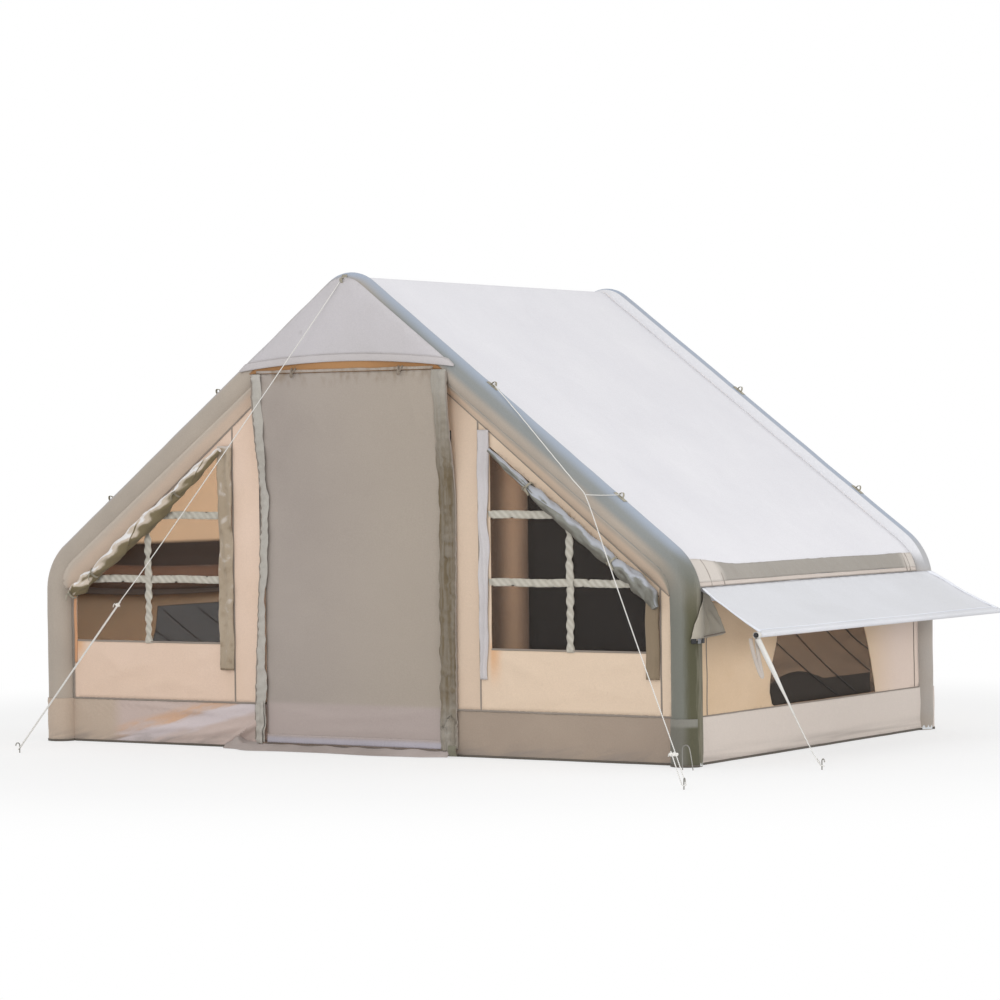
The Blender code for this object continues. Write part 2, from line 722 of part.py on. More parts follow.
def build_door_flap(label, side, hinge):
    """Wavy cover of a door zip, from the door's edge across to the wall."""
    faces = [[], []]
    for i, z in enumerate(door_heights()):
        t = min(1, max(0, (z - DOOR_BEND_START) / (DOOR_BEND_END - DOOR_BEND_START)))
        wave = math.sin(2 * math.pi * FLAP_WAVES * i / DOOR_ROWS)
        on_door = door_layer(z) + CLOTH + GAP
        bulge = max(HALF_DEPTH + CLOTH + FLAP_BULGE + FLAP_WAVE * wave, on_door)
        edge = HALF_DEPTH + CLOTH + FLAP_EDGE_GAP
        on_wall = edge + (on_door - edge) * t
        columns = (
            (FLAP_INNER + FLAP_WAVE * wave / 2, on_door),
            ((FLAP_INNER + FLAP_OUTER) / 2, bulge),
            (FLAP_OUTER + FLAP_WAVE * wave, on_wall),
        )
        for face, offset in zip(faces, (CLOTH / 2, -CLOTH / 2)):
            face.append([(side * x, -layer - offset, z) for x, layer in columns])
    sheet(f"door_{label}_flap", *faces, material("webbing"), hinge)


SLIDER_LAP = 0.037
SLIDER_X = DOOR_HALF + SLIDER_LAP
SLIDER_HEIGHT = 0.220
SLIDER_LENGTH = 0.030
SLIDER_WIDTH = 0.012
SLIDER_DEPTH = 0.006
PULL_LENGTH = 0.040


def zip_slider(name, x, y, out):
    """Zip slider with its hanging pull, from one side outline."""
    half, tail = SLIDER_LENGTH / 2, SLIDER_LENGTH / 2 + PULL_LENGTH
    deep, thin = SLIDER_DEPTH, SLIDER_DEPTH / 3
    outline = [(0, -half), (0, half), (deep / 2, half), (deep, 0), (deep, -tail)]
    outline += [(deep - thin, -tail), (deep - thin, -half)]
    base = Vector((x, y, SLIDER_HEIGHT))
    flip = Matrix(((0, 0, 1, 0), (out, 0, 0, 0), (0, 1, 0, 0), (0, 0, 0, 1)))
    place = Matrix.Translation(base) @ flip
    panel(name, outline, [], SLIDER_WIDTH, place, material("black_plastic"), base)


def build_zips():
    """Sliders of the two front door zips and of the rear mesh door."""
    skin = HALF_DEPTH + CLOTH / 2 + GAP
    zip_slider("door_left_zip_slider", -SLIDER_X, -skin, -1)
    zip_slider("door_right_zip_slider", SLIDER_X, -skin, -1)
    zip_slider("rear_zip_slider", SLIDER_X, skin, 1)


ROLL_RADIUS = 0.034
ROLL_DROP = 0.014
ROLL_SAG = 0.010
ROLL_WAIST_SHARE = 0.08


def build_rear_door():
    """Rear doorway: a mesh door on its side seam, and the cloth door rolled above."""
    half, low, top = DOOR_HALF - GAP, DOOR_BOTTOM, DOORWAY_TOP
    hinge = (-half, HALF_DEPTH - MESH / 2, low)
    outline = [(-half, low), (half, low), (half, top), (-half, top)]
    place = facing_front(HALF_DEPTH)
    panel("rear_mesh_door", outline, [], MESH, place, material("mesh"), hinge)
    layer = HALF_DEPTH + CLOTH / 2 + GAP + ROLL_RADIUS
    rings = []
    for i in range(ROLL_STEPS + 1):
        t = i / ROLL_STEPS
        height = top - ROLL_DROP - ROLL_SAG * math.sin(math.pi * t) ** 2
        size = ROLL_RADIUS * (1 - ROLL_WAIST_SHARE * (1 - math.cos(4 * math.pi * t)))
        centre = (DOOR_HALF * (2 * t - 1), layer, height)
        rings.append(ring(centre, (0, 0, 1), (0, 1, 0), size, ROLL_SIDES))
    shell("rear_door_roll", rings, material("door"))


# Side walls, skirts and floor

WRAP_STEPS = 10
SILL_REACH = 0.120
SILL_LEFT = 0.620
SILL_RIGHT = 0.490
SILL_WAVE = 0.008
SILL_WAVES = 2.4
SILL_STEPS = 8


def build_sides():
    """Side walls with their mesh windows, under the eave seam."""
    for label, side in (("left", -1), ("right", 1)):
        low, half = SKIRT_HEIGHT + GAP, CLOTH_HALF_DEPTH
        stations = [half * (1 - 2 * i / SPAN_STEPS) for i in range(SPAN_STEPS + 1)]
        outline = [(-half, low), (half, low)]
        outline += [(y, SEAM_HEIGHT - GAP - eave_sag(y)) for y in stations]
        place = facing_side(side * (HALF_SPAN + RISE))
        panel(f"{label}_wall", outline, [side_window(0)], CLOTH, place, material("wall"))
        mesh = side_window(-GAP)
        panel(f"{label}_window_mesh", mesh, [], MESH, place, material("mesh"))


def side_window(grow):
    """Opening of a side window, or the mesh in it."""
    half = SIDE_WINDOW_HALF + grow
    low, top = SIDE_WINDOW_BOTTOM - grow, SIDE_WINDOW_TOP + grow
    return [(-half, low), (half, low), (half, top), (-half, top)]


def skirt_plan(side, offset):
    """Plan of a skirt, from the front doorway round both legs to the rear one."""
    reach, plane = WRAP_RADIUS + offset, RISE + offset
    points = [(JAMB + GAP, -HALF_DEPTH - offset)]
    points.append((HALF_SPAN - math.sqrt(reach**2 - offset**2), -HALF_DEPTH - offset))
    for i in range(1, WRAP_STEPS + 1):
        angle = math.pi + FACET * i
        x = HALF_SPAN + reach * math.cos(angle)
        points.append((x, -HALF_DEPTH + reach * math.sin(angle)))
    points.append((HALF_SPAN + plane, -HALF_DEPTH + math.sqrt(reach**2 - plane**2)))
    points += [(x, -y) for x, y in reversed(points)]
    return [(side * x, y) for x, y in points]


def build_skirts():
    """Weatherproof band round the foot of the walls, wrapped round the legs."""
    for label, side in (("left", -1), ("right", 1)):
        grids = []
        for offset in (CLOTH / 2, -CLOTH / 2):
            plan = skirt_plan(side, offset)
            grids.append([[(x, y, z) for x, y in plan] for z in (0, SKIRT_HEIGHT)])
        sheet(f"{label}_skirt", *grids, material("skirt"))


def build_floor():
    """Groundsheet notched round the legs, and the loose sill before the door."""
    wide, deep = HALF_SPAN + RISE - CLOTH / 2 - GAP, HALF_DEPTH - CLOTH / 2 - GAP
    x, y = HALF_SPAN - BEAM_RADIUS - CLOTH - 2 * GAP, BEAM_END
    corner = [(wide, -y), (wide, y), (x, y), (x, deep)]
    outline = corner + [(-a, b) for a, b in reversed(corner)] + [(-x, -y), (-x, -deep), (x, -deep), (x, -y)]
    place = Matrix.Translation((0, 0, CLOTH / 2))
    panel("groundsheet", outline, [], CLOTH, place, material("ground"))
    edge = HALF_DEPTH + CLOTH / 2 + GAP
    outline = [(-DOOR_HALF, -deep - GAP), (-DOOR_HALF, -edge), (-SILL_LEFT, -edge)]
    for i in range(SILL_STEPS + 1):
        t = i / SILL_STEPS
        front = HALF_DEPTH + SILL_REACH - SILL_WAVE * math.cos(2 * math.pi * SILL_WAVES * t)
        outline.append((-SILL_LEFT + (SILL_LEFT + SILL_RIGHT) * t, -front))
    outline += [(SILL_RIGHT, -edge), (DOOR_HALF, -edge), (DOOR_HALF, -deep - GAP)]
    panel("door_sill", outline, [], CLOTH, place, material("skirt"))


# Awnings

AWNING_LIFT = 0.0085
AWNING_X = HALF_SPAN + RISE + CLOTH / 2 + GAP
AWNING_Z = SEAM_HEIGHT + AWNING_LIFT - EAVE_SAG
POLE_END = 1.125
POLE_SIDES = 12
HEM_WALL = 0.003
HEM_RADIUS = POLE_RADIUS + GAP + HEM_WALL


def awning_rim():
    """Centre of the awning's outer hem at rest."""
    x = AWNING_X + AWNING_REACH * math.cos(AWNING_ANGLE)
    return x, AWNING_Z - AWNING_REACH * math.sin(AWNING_ANGLE)


def awning_edge(v, offset):
    """Seam and rim points of one face of the awning's cloth, at a share of its length."""
    rim_x, rim_z = awning_rim()
    rim = Vector((rim_x, 0, rim_z))
    seam = Vector((AWNING_X, 0, AWNING_Z + EAVE_SAG * v * v))
    along = (rim - seam).normalized()
    up = Vector((-along.z, 0, along.x))
    seam.y, rim.y = v * (CLOTH_HALF_DEPTH - CLOTH), v * AWNING_HALF
    return [seam + up * offset, rim + up * (offset - CLOTH / 2)]


def build_awning():
    """Propped awning: cloth sewn along the eave seam, with a pole in its outer hem."""
    rim_x, rim_z = awning_rim()
    shares = [2 * i / SPAN_STEPS - 1 for i in range(SPAN_STEPS + 1)]
    faces = [[awning_edge(v, offset) for v in shares] for offset in (CLOTH, 0)]
    hinge = (AWNING_X, 0, AWNING_Z)
    awning = sheet("right_awning", *faces, material("roof"), hinge)
    hem = cutter("awning_hem", HEM_RADIUS, (rim_x, -AWNING_HALF, rim_z), (rim_x, AWNING_HALF, rim_z))
    combine(awning, hem, "UNION")
    end = POLE_END + OVERRUN
    bore = cutter("awning_bore", POLE_RADIUS + GAP, (rim_x, -end, rim_z), (rim_x, end, rim_z))
    combine(awning, bore, "DIFFERENCE")
    ends = [(rim_x, -POLE_END, rim_z), (rim_x, POLE_END, rim_z)]
    rings = [ring(p, (1, 0, 0), (0, 0, 1), POLE_RADIUS, POLE_SIDES) for p in ends]
    shell("awning_pole", rings, material("pole"), pivot=hinge)


TIE_LAYER = HALF_SPAN + RISE + CLOTH + GAP
TIE_INSET = 0.014
TIE_TOP = 0.025
TIE_LENGTH = 0.175
TIE_DROP = 0.113
TIE_SHARES = ((0, 0), (0.31, 0.03), (1, 0.58), (0.94, 0.80), (0, 1))
LEFT_ROLL_RADIUS = 0.026
LEFT_ROLL_WAIST_SHARE = 0.10


def build_awning_tie():
    """Cloth tie that hangs from the seam at the awning's front end."""
    corner_y, corner_z = TIE_INSET - CLOTH_HALF_DEPTH, SEAM_HEIGHT - TIE_TOP
    outline = [(corner_y + TIE_LENGTH * a, corner_z - TIE_DROP * b) for a, b in TIE_SHARES]
    panel("awning_tie", outline, [], CLOTH, facing_side(TIE_LAYER), material("skirt"))


def build_left_roll():
    """Left awning rolled up and tied under its eave seam."""
    x = HALF_SPAN + RISE + CLOTH / 2 + GAP + LEFT_ROLL_RADIUS
    rings = []
    for i in range(ROLL_STEPS + 1):
        t = i / ROLL_STEPS
        y = (CLOTH_HALF_DEPTH - CLOTH) * (2 * t - 1)
        size = LEFT_ROLL_RADIUS * (1 - LEFT_ROLL_WAIST_SHARE * (1 - math.cos(5 * math.pi * t)))
        centre = (-x, y, SEAM_HEIGHT - eave_sag(y))
        rings.append(ring(centre, (0, 0, 1), (1, 0, 0), size, ROLL_SIDES))
    shell("left_awning_roll", rings, material("roof"))


# Guy lines, runners and pegs

PEG_RADIUS = 0.0025
PEG_HEIGHT = 0.034
HOOK_RADIUS = 0.008
HOOK_STEPS = 6
LEFT_PEG = (-1.320, -1.630)
RIGHT_PEG = (2.050, -1.870)
AWNING_PEG = (2.130, -0.940)

# Routes run from the eye of a tab to the peg, round it and back up to the runner
LEFT_ROUTE = [
    (0.0000, -1.0954, 1.9637),
    (-0.0050, -1.0956, 1.9635),
    (-0.0420, -1.1118, 1.9066),
    (-0.1602, -1.1608, 1.7270),
    (-0.5278, -1.3135, 1.1750),
    (-0.8167, -1.4335, 0.7510),
    (-0.9099, -1.4722, 0.6213),
    (-1.1135, -1.5548, 0.3206),
    (-1.2924, -1.6274, 0.0563),
    (-1.3170, -1.6374, 0.0200),
    (-1.3210, -1.6365, 0.0154),
    (-1.3244, -1.6318, 0.0135),
    (-1.3252, -1.6260, 0.0154),
    (-1.3230, -1.6226, 0.0200),
    (-1.2984, -1.6126, 0.0563),
    (-1.1195, -1.5400, 0.3206),
    (-0.9159, -1.4574, 0.6213),
    (-0.9072, -1.4538, 0.6342),
]
RIGHT_ROUTE = [
    (0.7052, -1.0275, 1.5188),
    (0.7056, -1.0325, 1.5185),
    (0.7235, -1.0380, 1.5010),
    (0.8537, -1.0670, 1.3845),
    (1.0038, -1.1038, 1.2492),
    (1.1289, -1.1346, 1.1372),
    (1.2040, -1.1530, 1.0700),
    (1.4595, -1.3661, 0.7506),
    (1.7150, -1.5792, 0.4354),
    (1.9054, -1.7388, 0.2059),
    (1.9748, -1.7958, 0.1198),
    (2.0302, -1.8428, 0.0509),
    (2.0552, -1.8639, 0.0200),
    (2.0568, -1.8683, 0.0161),
    (2.0537, -1.8731, 0.0154),
    (2.0495, -1.8770, 0.0161),
    (2.0448, -1.8761, 0.0200),
    (2.0199, -1.8550, 0.0509),
    (1.9645, -1.8080, 0.1198),
    (1.9556, -1.8005, 0.1308),
]
BRANCH_ROUTE = [
    (1.2957, -1.0275, 1.0674),
    (1.2953, -1.0318, 1.0674),
    (1.2900, -1.0424, 1.0672),
    (1.2513, -1.0916, 1.0670),
    (1.2200, -1.1320, 1.0690),
    (1.2055, -1.1509, 1.0702),
]
AWNING_ROUTE = [
    (2.0540, -1.0170, 0.2135),
    (2.0720, -1.0020, 0.1630),
    (2.1010, -0.9720, 0.0800),
    (2.1190, -0.9525, 0.0330),
    (2.1290, -0.9470, 0.0190),
    (2.1338, -0.9440, 0.0160),
    (2.1350, -0.9388, 0.0145),
    (2.1322, -0.9355, 0.0140),
    (2.1272, -0.9355, 0.0150),
    (2.1225, -0.9385, 0.0200),
    (2.1120, -0.9460, 0.0440),
]
ROUTE_STEPS = 4
BRANCH_STEPS = 5
BRANCH_RADIUS = 0.0015
LEFT_RUNNER = (-0.9129, -1.4648, 0.6213)
RIGHT_RUNNER = (1.9696, -1.8019, 0.1198)
RUNNER_LENGTH = 0.034
RUNNER_WIDTH = 0.013
RUNNER_THICKNESS = 0.005
STRAP_WIDTH = 0.020
STRAP_THICKNESS = 0.002
STRAP_SHARES = ((0, 1), (0.5, 0.9), (1, 0.35))
EYE_WALL = 0.003
EYE_CLEARANCE = 0.001


def runner(name, centre, start, peg):
    """Line runner: a small bar whose two eyes slide on the two strands of a guy."""
    down = (Vector((*peg, PEG_HEIGHT / 2)) - Vector(start)).normalized()
    across = down.cross(Vector((0, 0, 1))).normalized()
    place = Matrix((across, down.cross(across), down)).transposed().to_4x4()
    place = Matrix.Translation(centre) @ place
    long, wide = RUNNER_LENGTH / 2, RUNNER_WIDTH / 2
    outline = [(-long, -wide / 2), (-long + wide / 2, -wide), (long - wide / 2, -wide)]
    outline += [(long, -wide / 2), (long, wide / 2), (long - wide / 2, wide)]
    outline += [(-long + wide / 2, wide), (-long, wide / 2)]
    eye = CORD_RADIUS + EYE_CLEARANCE
    holes = [
        [(p.x, p.y) for p in ring((shift, 0, 0), (1, 0, 0), (0, 1, 0), eye, 12)]
        for shift in (-STRAND_OFFSET, STRAND_OFFSET)
    ]
    finish = material("black_plastic")
    panel(name, outline, holes, RUNNER_THICKNESS, place, finish, pivot=centre)


def build_guys():
    """Three guy lines and the branch of the right one, with their runners."""
    routes = (
        ("left_guy_line", LEFT_ROUTE, CORD_RADIUS, ROUTE_STEPS),
        ("right_guy_line", RIGHT_ROUTE, CORD_RADIUS, ROUTE_STEPS),
        ("right_guy_branch", BRANCH_ROUTE, BRANCH_RADIUS, BRANCH_STEPS),
        ("awning_guy_line", AWNING_ROUTE, CORD_RADIUS, ROUTE_STEPS),
    )
    for name, route, radius, steps in routes:
        cord(name, smooth_route(route, steps), radius, material("cord"))
    runner("left_guy_runner", LEFT_RUNNER, LEFT_ROUTE[0], LEFT_PEG)
    runner("right_guy_runner", RIGHT_RUNNER, RIGHT_ROUTE[5], RIGHT_PEG)


def build_awning_strap():
    """Webbing strap from an eye on the awning's pole down to its guy line."""
    rim_x, rim_z = awning_rim()
    eye = POLE_RADIUS + EYE_CLEARANCE
    hem_end = AWNING_HALF + POLE_RADIUS
    centre = Vector((rim_x, -hem_end - STRAP_WIDTH / 2, rim_z))
    end = Vector(AWNING_ROUTE[0])
    down = (end - centre).normalized()
    end -= down * GAP
    thick = Vector((-down.z, 0, down.x)).normalized() * STRAP_THICKNESS / 2
    wide = down.cross(thick).normalized() * STRAP_WIDTH / 2
    start = centre + down * (eye + EYE_WALL / 2)
    rings = []
    for place, share in STRAP_SHARES:
        point = start + (end - start) * place
        corners = ((1, 1), (1, -1), (-1, -1), (-1, 1))
        rings.append([point + a * thick + b * share * wide for a, b in corners])
    strap = shell("awning_guy_strap", rings, material("webbing"))
    reach = Vector((0, STRAP_WIDTH / 2, 0))
    loop = [ring(centre + s * reach, (1, 0, 0), (0, 0, 1), eye + EYE_WALL, 12) for s in (-1, 1)]
    outer = shell("strap_loop", loop, material("webbing"))
    combine(strap, outer, "UNION")
    bore = cutter("strap_bore", eye, centre - 2 * reach, centre + 2 * reach)
    combine(strap, bore, "DIFFERENCE")


def build_pegs():
    """Wire pegs, shown from the ground up: a shank and its hook."""
    for label, spot in (("left", LEFT_PEG), ("right", RIGHT_PEG), ("awning", AWNING_PEG)):
        away = Vector((*spot, 0)).normalized()
        base = Vector((*spot, 0))
        points = [base, base + Vector((0, 0, PEG_HEIGHT / 2))]
        for i in range(HOOK_STEPS + 1):
            angle = math.pi * i / HOOK_STEPS
            out = HOOK_RADIUS * (1 - math.cos(angle))
            up = PEG_HEIGHT + HOOK_RADIUS * math.sin(angle)
            points.append(base + away * out + Vector((0, 0, up)))
        points.append(points[-1] - Vector((0, 0, HOOK_RADIUS / 2)))
        cord(f"{label}_peg", points, PEG_RADIUS, steel())


def main():
    for leftover in list(bpy.data.objects):
        bpy.data.objects.remove(leftover, do_unlink=True)
    arches = build_arches()
    build_beams()
    build_valve(*arches["rear"])
    build_roof()
    build_front_and_rear()
    build_door()
    build_zips()
    build_rear_door()
    build_sides()
    build_skirts()
    build_floor()
    build_awning()
    build_awning_tie()
    build_left_roll()
    build_guys()
    build_awning_strap()
    build_pegs()


main()
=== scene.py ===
import math

import bmesh
import bpy
from mathutils import Matrix, Vector, noise


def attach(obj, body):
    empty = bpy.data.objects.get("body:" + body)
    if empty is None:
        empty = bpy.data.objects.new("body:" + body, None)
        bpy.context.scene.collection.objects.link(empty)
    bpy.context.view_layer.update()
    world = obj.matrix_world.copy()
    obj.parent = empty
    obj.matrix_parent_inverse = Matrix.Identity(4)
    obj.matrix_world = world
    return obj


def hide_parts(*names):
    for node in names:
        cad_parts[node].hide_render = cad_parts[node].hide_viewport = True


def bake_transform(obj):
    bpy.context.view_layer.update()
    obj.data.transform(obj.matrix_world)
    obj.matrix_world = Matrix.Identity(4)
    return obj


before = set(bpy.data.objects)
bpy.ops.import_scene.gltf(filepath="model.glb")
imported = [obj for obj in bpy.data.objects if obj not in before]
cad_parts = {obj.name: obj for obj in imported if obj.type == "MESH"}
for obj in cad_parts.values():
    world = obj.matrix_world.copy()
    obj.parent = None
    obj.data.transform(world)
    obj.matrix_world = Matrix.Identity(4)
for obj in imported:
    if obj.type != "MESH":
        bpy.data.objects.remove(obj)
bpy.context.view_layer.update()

# Studio: the tent stands on a plain pale floor in soft light from a white sky. The
# camera stands at eye height, off the tent's front right corner.


def tone(code):
    """Linear colour of a six-digit hex code."""
    parts = [int(code[i : i + 2], 16) / 255 for i in (0, 2, 4)]
    return (*[c / 12.92 if c < 0.04045 else ((c + 0.055) / 1.055) ** 2.4 for c in parts], 1)


class Paint:
    """Adds the shader nodes of the sky or of a new material, and gives their outputs."""

    def __init__(self, owner):
        self.owner = bpy.data.materials.new(owner) if isinstance(owner, str) else owner
        self.owner.use_nodes = True
        self.tree = self.owner.node_tree

    def put(self, node, sockets):
        """Sets a node's sockets to values, hex codes or other nodes' outputs."""
        for key, value in sockets.items():
            if isinstance(value, bpy.types.NodeSocket):
                self.tree.links.new(value, node.inputs[key])
            else:
                node.inputs[key].default_value = tone(value) if isinstance(value, str) else value

    def add(self, kind, sockets, out=0, **settings):
        node = self.tree.nodes.new("ShaderNode" + kind)
        for key, value in settings.items():
            setattr(node, key, value)
        self.put(node, sockets)
        return node.outputs[out]

    def coat(self, sockets, shader="Principled BSDF"):
        """Sets the sockets of the owner's own shader, and gives the owner."""
        self.put(self.tree.nodes[shader], sockets)
        return self.owner

    def coords(self, kind="Object"):
        return self.add("TexCoord", {}, kind)

    def calc(self, operation, *values):
        return self.add("Math", dict(enumerate(values)), operation=operation)

    def scale(self, value, start, end, low=0.0, high=1.0):
        """Low to high in step with a value that goes from start to end."""
        sockets = {"Value": value, "From Min": start, "From Max": end, "To Min": low, "To Max": high}
        return self.add("MapRange", sockets)

    def level(self, value, start, end, low=0.0):
        """Low to 1, eased, as a value goes from start to end."""
        sockets = {"Value": value, "From Min": start, "From Max": end, "To Min": low}
        return self.add("MapRange", sockets, interpolation_type="SMOOTHSTEP")

    def both(self, *steps):
        """Product of shares, each an output or (value, start, end) for an eased one."""
        shares = [self.level(*step) if isinstance(step, tuple) else step for step in steps]
        product = shares[0]
        for share in shares[1:]:
            product = self.calc("MULTIPLY", product, share)
        return product


def unlit_ray(ink):
    """1 for the rays that see the background: camera, glossy and transmission rays."""
    path = ink.add("LightPath", {}).node.outputs
    seen = ink.calc("MAXIMUM", path["Is Camera Ray"], path["Is Glossy Ray"])
    return ink.calc("MAXIMUM", seen, path["Is Transmission Ray"])


def primitive(name, add, place, scale=(1, 1, 1), **settings):
    """A plane, cube or cylinder, with its place, turn and size applied."""
    bpy.ops.object.select_all(action="DESELECT")
    add(location=place, **settings)
    made = bpy.context.active_object
    made.name, made.scale = name, scale
    bpy.ops.object.transform_apply(location=True, rotation=True, scale=True)
    return made


sky_light, floor_grey, floor_white_share, fade_start, fade_end = 0.92, 0.82, 0.62, 2.6, 4.6
white = (1, 1, 1, 1)
bpy.context.scene.world = bpy.data.worlds.new("studio_sky")
ink = Paint(bpy.context.scene.world)
ink.coat({"Color": white, "Strength": ink.scale(unlit_ray(ink), 0, 1, sky_light)}, "Background")

floor = primitive("studio_floor", bpy.ops.mesh.primitive_plane_add, (0, 0, -0.001), size=90)
ink = Paint("studio_floor_paint")
ink.tree.nodes.clear()
away = ink.add("VectorMath", {0: ink.coords()}, "Value", operation="LENGTH")
seen = ink.both(unlit_ray(ink), (away, fade_start, fade_end, floor_white_share))
lit = ink.add("BsdfDiffuse", {"Color": (floor_grey, floor_grey, floor_grey, 1)})
glow = ink.add("Emission", {"Color": white, "Strength": 1.0})
surface = ink.add("MixShader", {0: seen, 1: lit, 2: glow})
ink.put(ink.tree.nodes.new("ShaderNodeOutputMaterial"), {"Surface": surface})
floor.data.materials.append(ink.owner)

# Lamps: place, what it points at, size and watts
lamps = {
    "key_softbox": ((3.0, -10.0, 3.5), (0, 0, 1.0), 4.0, 200),
    "side_softbox": ((9.0, -1.5, 2.2), (0, 0, 0.6), 3.0, 145),
    "cabin_glow": ((0, 0.1, 1.45), (0, 0, 0.2), 1.0, 42),
}
for name, (place, target, size, watts) in lamps.items():
    data = bpy.data.lights.new(name, "AREA")
    data.shape, data.size, data.energy = "DISK", size, watts
    lamp = bpy.data.objects.new(name, data)
    lamp.location = place
    lamp.rotation_euler = (Vector(target) - Vector(place)).to_track_quat("-Z", "Y").to_euler()
    bpy.context.collection.objects.link(lamp)

eye_azimuth, eye_dip, eye_roll = 0.5732, 0.0120, -0.0128
eye = bpy.data.objects.new("eye", bpy.data.cameras.new("eye"))
eye.data.lens, eye.data.sensor_width = 127.35, 36
ahead = Vector((-math.sin(eye_azimuth), math.cos(eye_azimuth), 0)) * math.cos(eye_dip)
ahead.z = -math.sin(eye_dip)
flat_right = ahead.cross(Vector((0, 0, 1))).normalized()
right = flat_right * math.cos(eye_roll) + flat_right.cross(ahead) * math.sin(eye_roll)
turned = Matrix((right, right.cross(ahead), -ahead)).transposed()
eye.matrix_world = Matrix.Translation((8.4967, -13.0711, 1.2213)) @ turned.to_4x4()
bpy.context.collection.objects.link(eye)
bpy.context.scene.camera = eye
bpy.context.scene.view_settings.view_transform = "Standard"


# Guy lines: white braided cord of 4 mm, tied to a webbing tab on the front arch, run
# down round a wire peg and back up to a runner that sets how tight it is.


class Finish(Paint):
    """A material, with the tints and textures that cord, cloth and plastic are made of."""

    def axes(self, vector):
        return self.add("SeparateXYZ", {0: vector}).node.outputs

    def facing(self):
        return self.axes(self.add("NewGeometry", {}, "Normal"))

    def tint(self, shade, colour, *steps):
        """Turns a shade into a colour by the product of shares."""
        return self.add("Mix", {0: self.both(*steps), 6: shade, 7: colour}, 2, data_type="RGBA")

    def stretch(self, place, *scale):
        return self.add("Mapping", {"Vector": place, "Scale": scale})

    def noise(self, place, scale, **sockets):
        return self.add("TexNoise", {"Vector": place, "Scale": scale, **sockets}, "Fac")

    def waves(self, place, scale, way, **sockets):
        sockets |= {"Vector": place, "Scale": scale}
        return self.add("TexWave", sockets, "Fac", wave_type="BANDS", bands_direction=way)

    def bump(self, height, distance, strength=1.0, **sockets):
        return self.add("Bump", {"Height": height, "Distance": distance, "Strength": strength, **sockets})


def bent_curve(name, route, radius, finish, body):
    """A round cord or wire on one smooth curve through its route's points."""
    data = bpy.data.curves.new(name, "CURVE")
    data.dimensions = "3D"
    data.bevel_depth, data.bevel_resolution, data.resolution_u = radius, 3, 6
    data.use_fill_caps = True
    spline = data.splines.new("BEZIER")
    spline.bezier_points.add(len(route) - 1)
    points = [Vector(p) for p in route]
    whole = [2 * points[0] - points[1], *points, 2 * points[-1] - points[-2]]
    for knot, a, b, c in zip(spline.bezier_points, whole, whole[1:], whole[2:]):
        pull = (c - a).normalized()
        before, after = (b - a).length, (c - b).length
        reach = min(1, after / before) * (c - a).length / 6
        back = min(1, before / after) * (c - a).length / 6
        knot.handle_left_type = knot.handle_right_type = "FREE"
        knot.co, knot.handle_left, knot.handle_right = b, b - pull * back, b + pull * reach
    made = bpy.data.objects.new(name, data)
    bpy.context.collection.objects.link(made)
    made.data.materials.append(finish)
    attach(made, body)
    return made


left_route = [
    (0.0000, -1.0954, 1.9637), (-0.0050, -1.0956, 1.9635), (-0.0420, -1.1118, 1.9066),
    (-0.1602, -1.1608, 1.7270), (-0.5278, -1.3135, 1.1750), (-0.8167, -1.4335, 0.7510),
    (-0.9099, -1.4722, 0.6213), (-1.1135, -1.5548, 0.3206), (-1.2924, -1.6274, 0.0563),
    (-1.3170, -1.6374, 0.0200), (-1.3210, -1.6365, 0.0154), (-1.3244, -1.6318, 0.0135),
    (-1.3252, -1.6260, 0.0154), (-1.3230, -1.6226, 0.0200), (-1.2984, -1.6126, 0.0563),
    (-1.1195, -1.5400, 0.3206), (-0.9159, -1.4574, 0.6213), (-0.9072, -1.4538, 0.6342),
]
right_route = [
    (0.7052, -1.0275, 1.5188), (0.7057, -1.0316, 1.5183), (0.7073, -1.0352, 1.5169),
    (0.7097, -1.0379, 1.5148), (0.7127, -1.0393, 1.5121), (0.7409, -1.0448, 1.4866),
    (0.8537, -1.0670, 1.3845), (1.0038, -1.1038, 1.2492), (1.1289, -1.1346, 1.1372),
    (1.2040, -1.1530, 1.0700), (1.4595, -1.3661, 0.7506), (1.7150, -1.5792, 0.4354),
    (1.9054, -1.7388, 0.2059), (1.9748, -1.7958, 0.1198), (2.0302, -1.8428, 0.0509),
    (2.0560, -1.8646, 0.0210), (2.0580, -1.8690, 0.0164), (2.0545, -1.8742, 0.0150),
    (2.0496, -1.8782, 0.0164), (2.0440, -1.8768, 0.0210), (2.0199, -1.8550, 0.0509),
    (1.9645, -1.8080, 0.1198), (1.9556, -1.8005, 0.1308),
]
branch_route = [
    (1.2957, -1.0275, 1.0674), (1.2953, -1.0318, 1.0674), (1.2900, -1.0424, 1.0672),
    (1.2513, -1.0916, 1.0670), (1.2200, -1.1320, 1.0690), (1.2055, -1.1509, 1.0702),
]
awning_route = [
    (2.0540, -1.0170, 0.2135), (2.0720, -1.0020, 0.1630), (2.1010, -0.9720, 0.0800),
    (2.1190, -0.9525, 0.0330), (2.1282, -0.9510, 0.0204), (2.1361, -0.9463, 0.0157),
    (2.1386, -0.9388, 0.0139), (2.1346, -0.9323, 0.0137), (2.1271, -0.9309, 0.0148),
    (2.1204, -0.9347, 0.0204), (2.1120, -0.9440, 0.0440),
]
ink = Finish("white_braid")
strands = ink.waves(ink.coords(), 95.0, "DIAGONAL", Distortion=1.5, Detail=1.0)
braid_sockets = {"Base Color": ink.tint("B9B6B0", "F2F1EE", strands), "Roughness": 0.72}
white_braid = ink.coat(braid_sockets | {"Normal": ink.bump(strands, 0.0008, 0.7)})
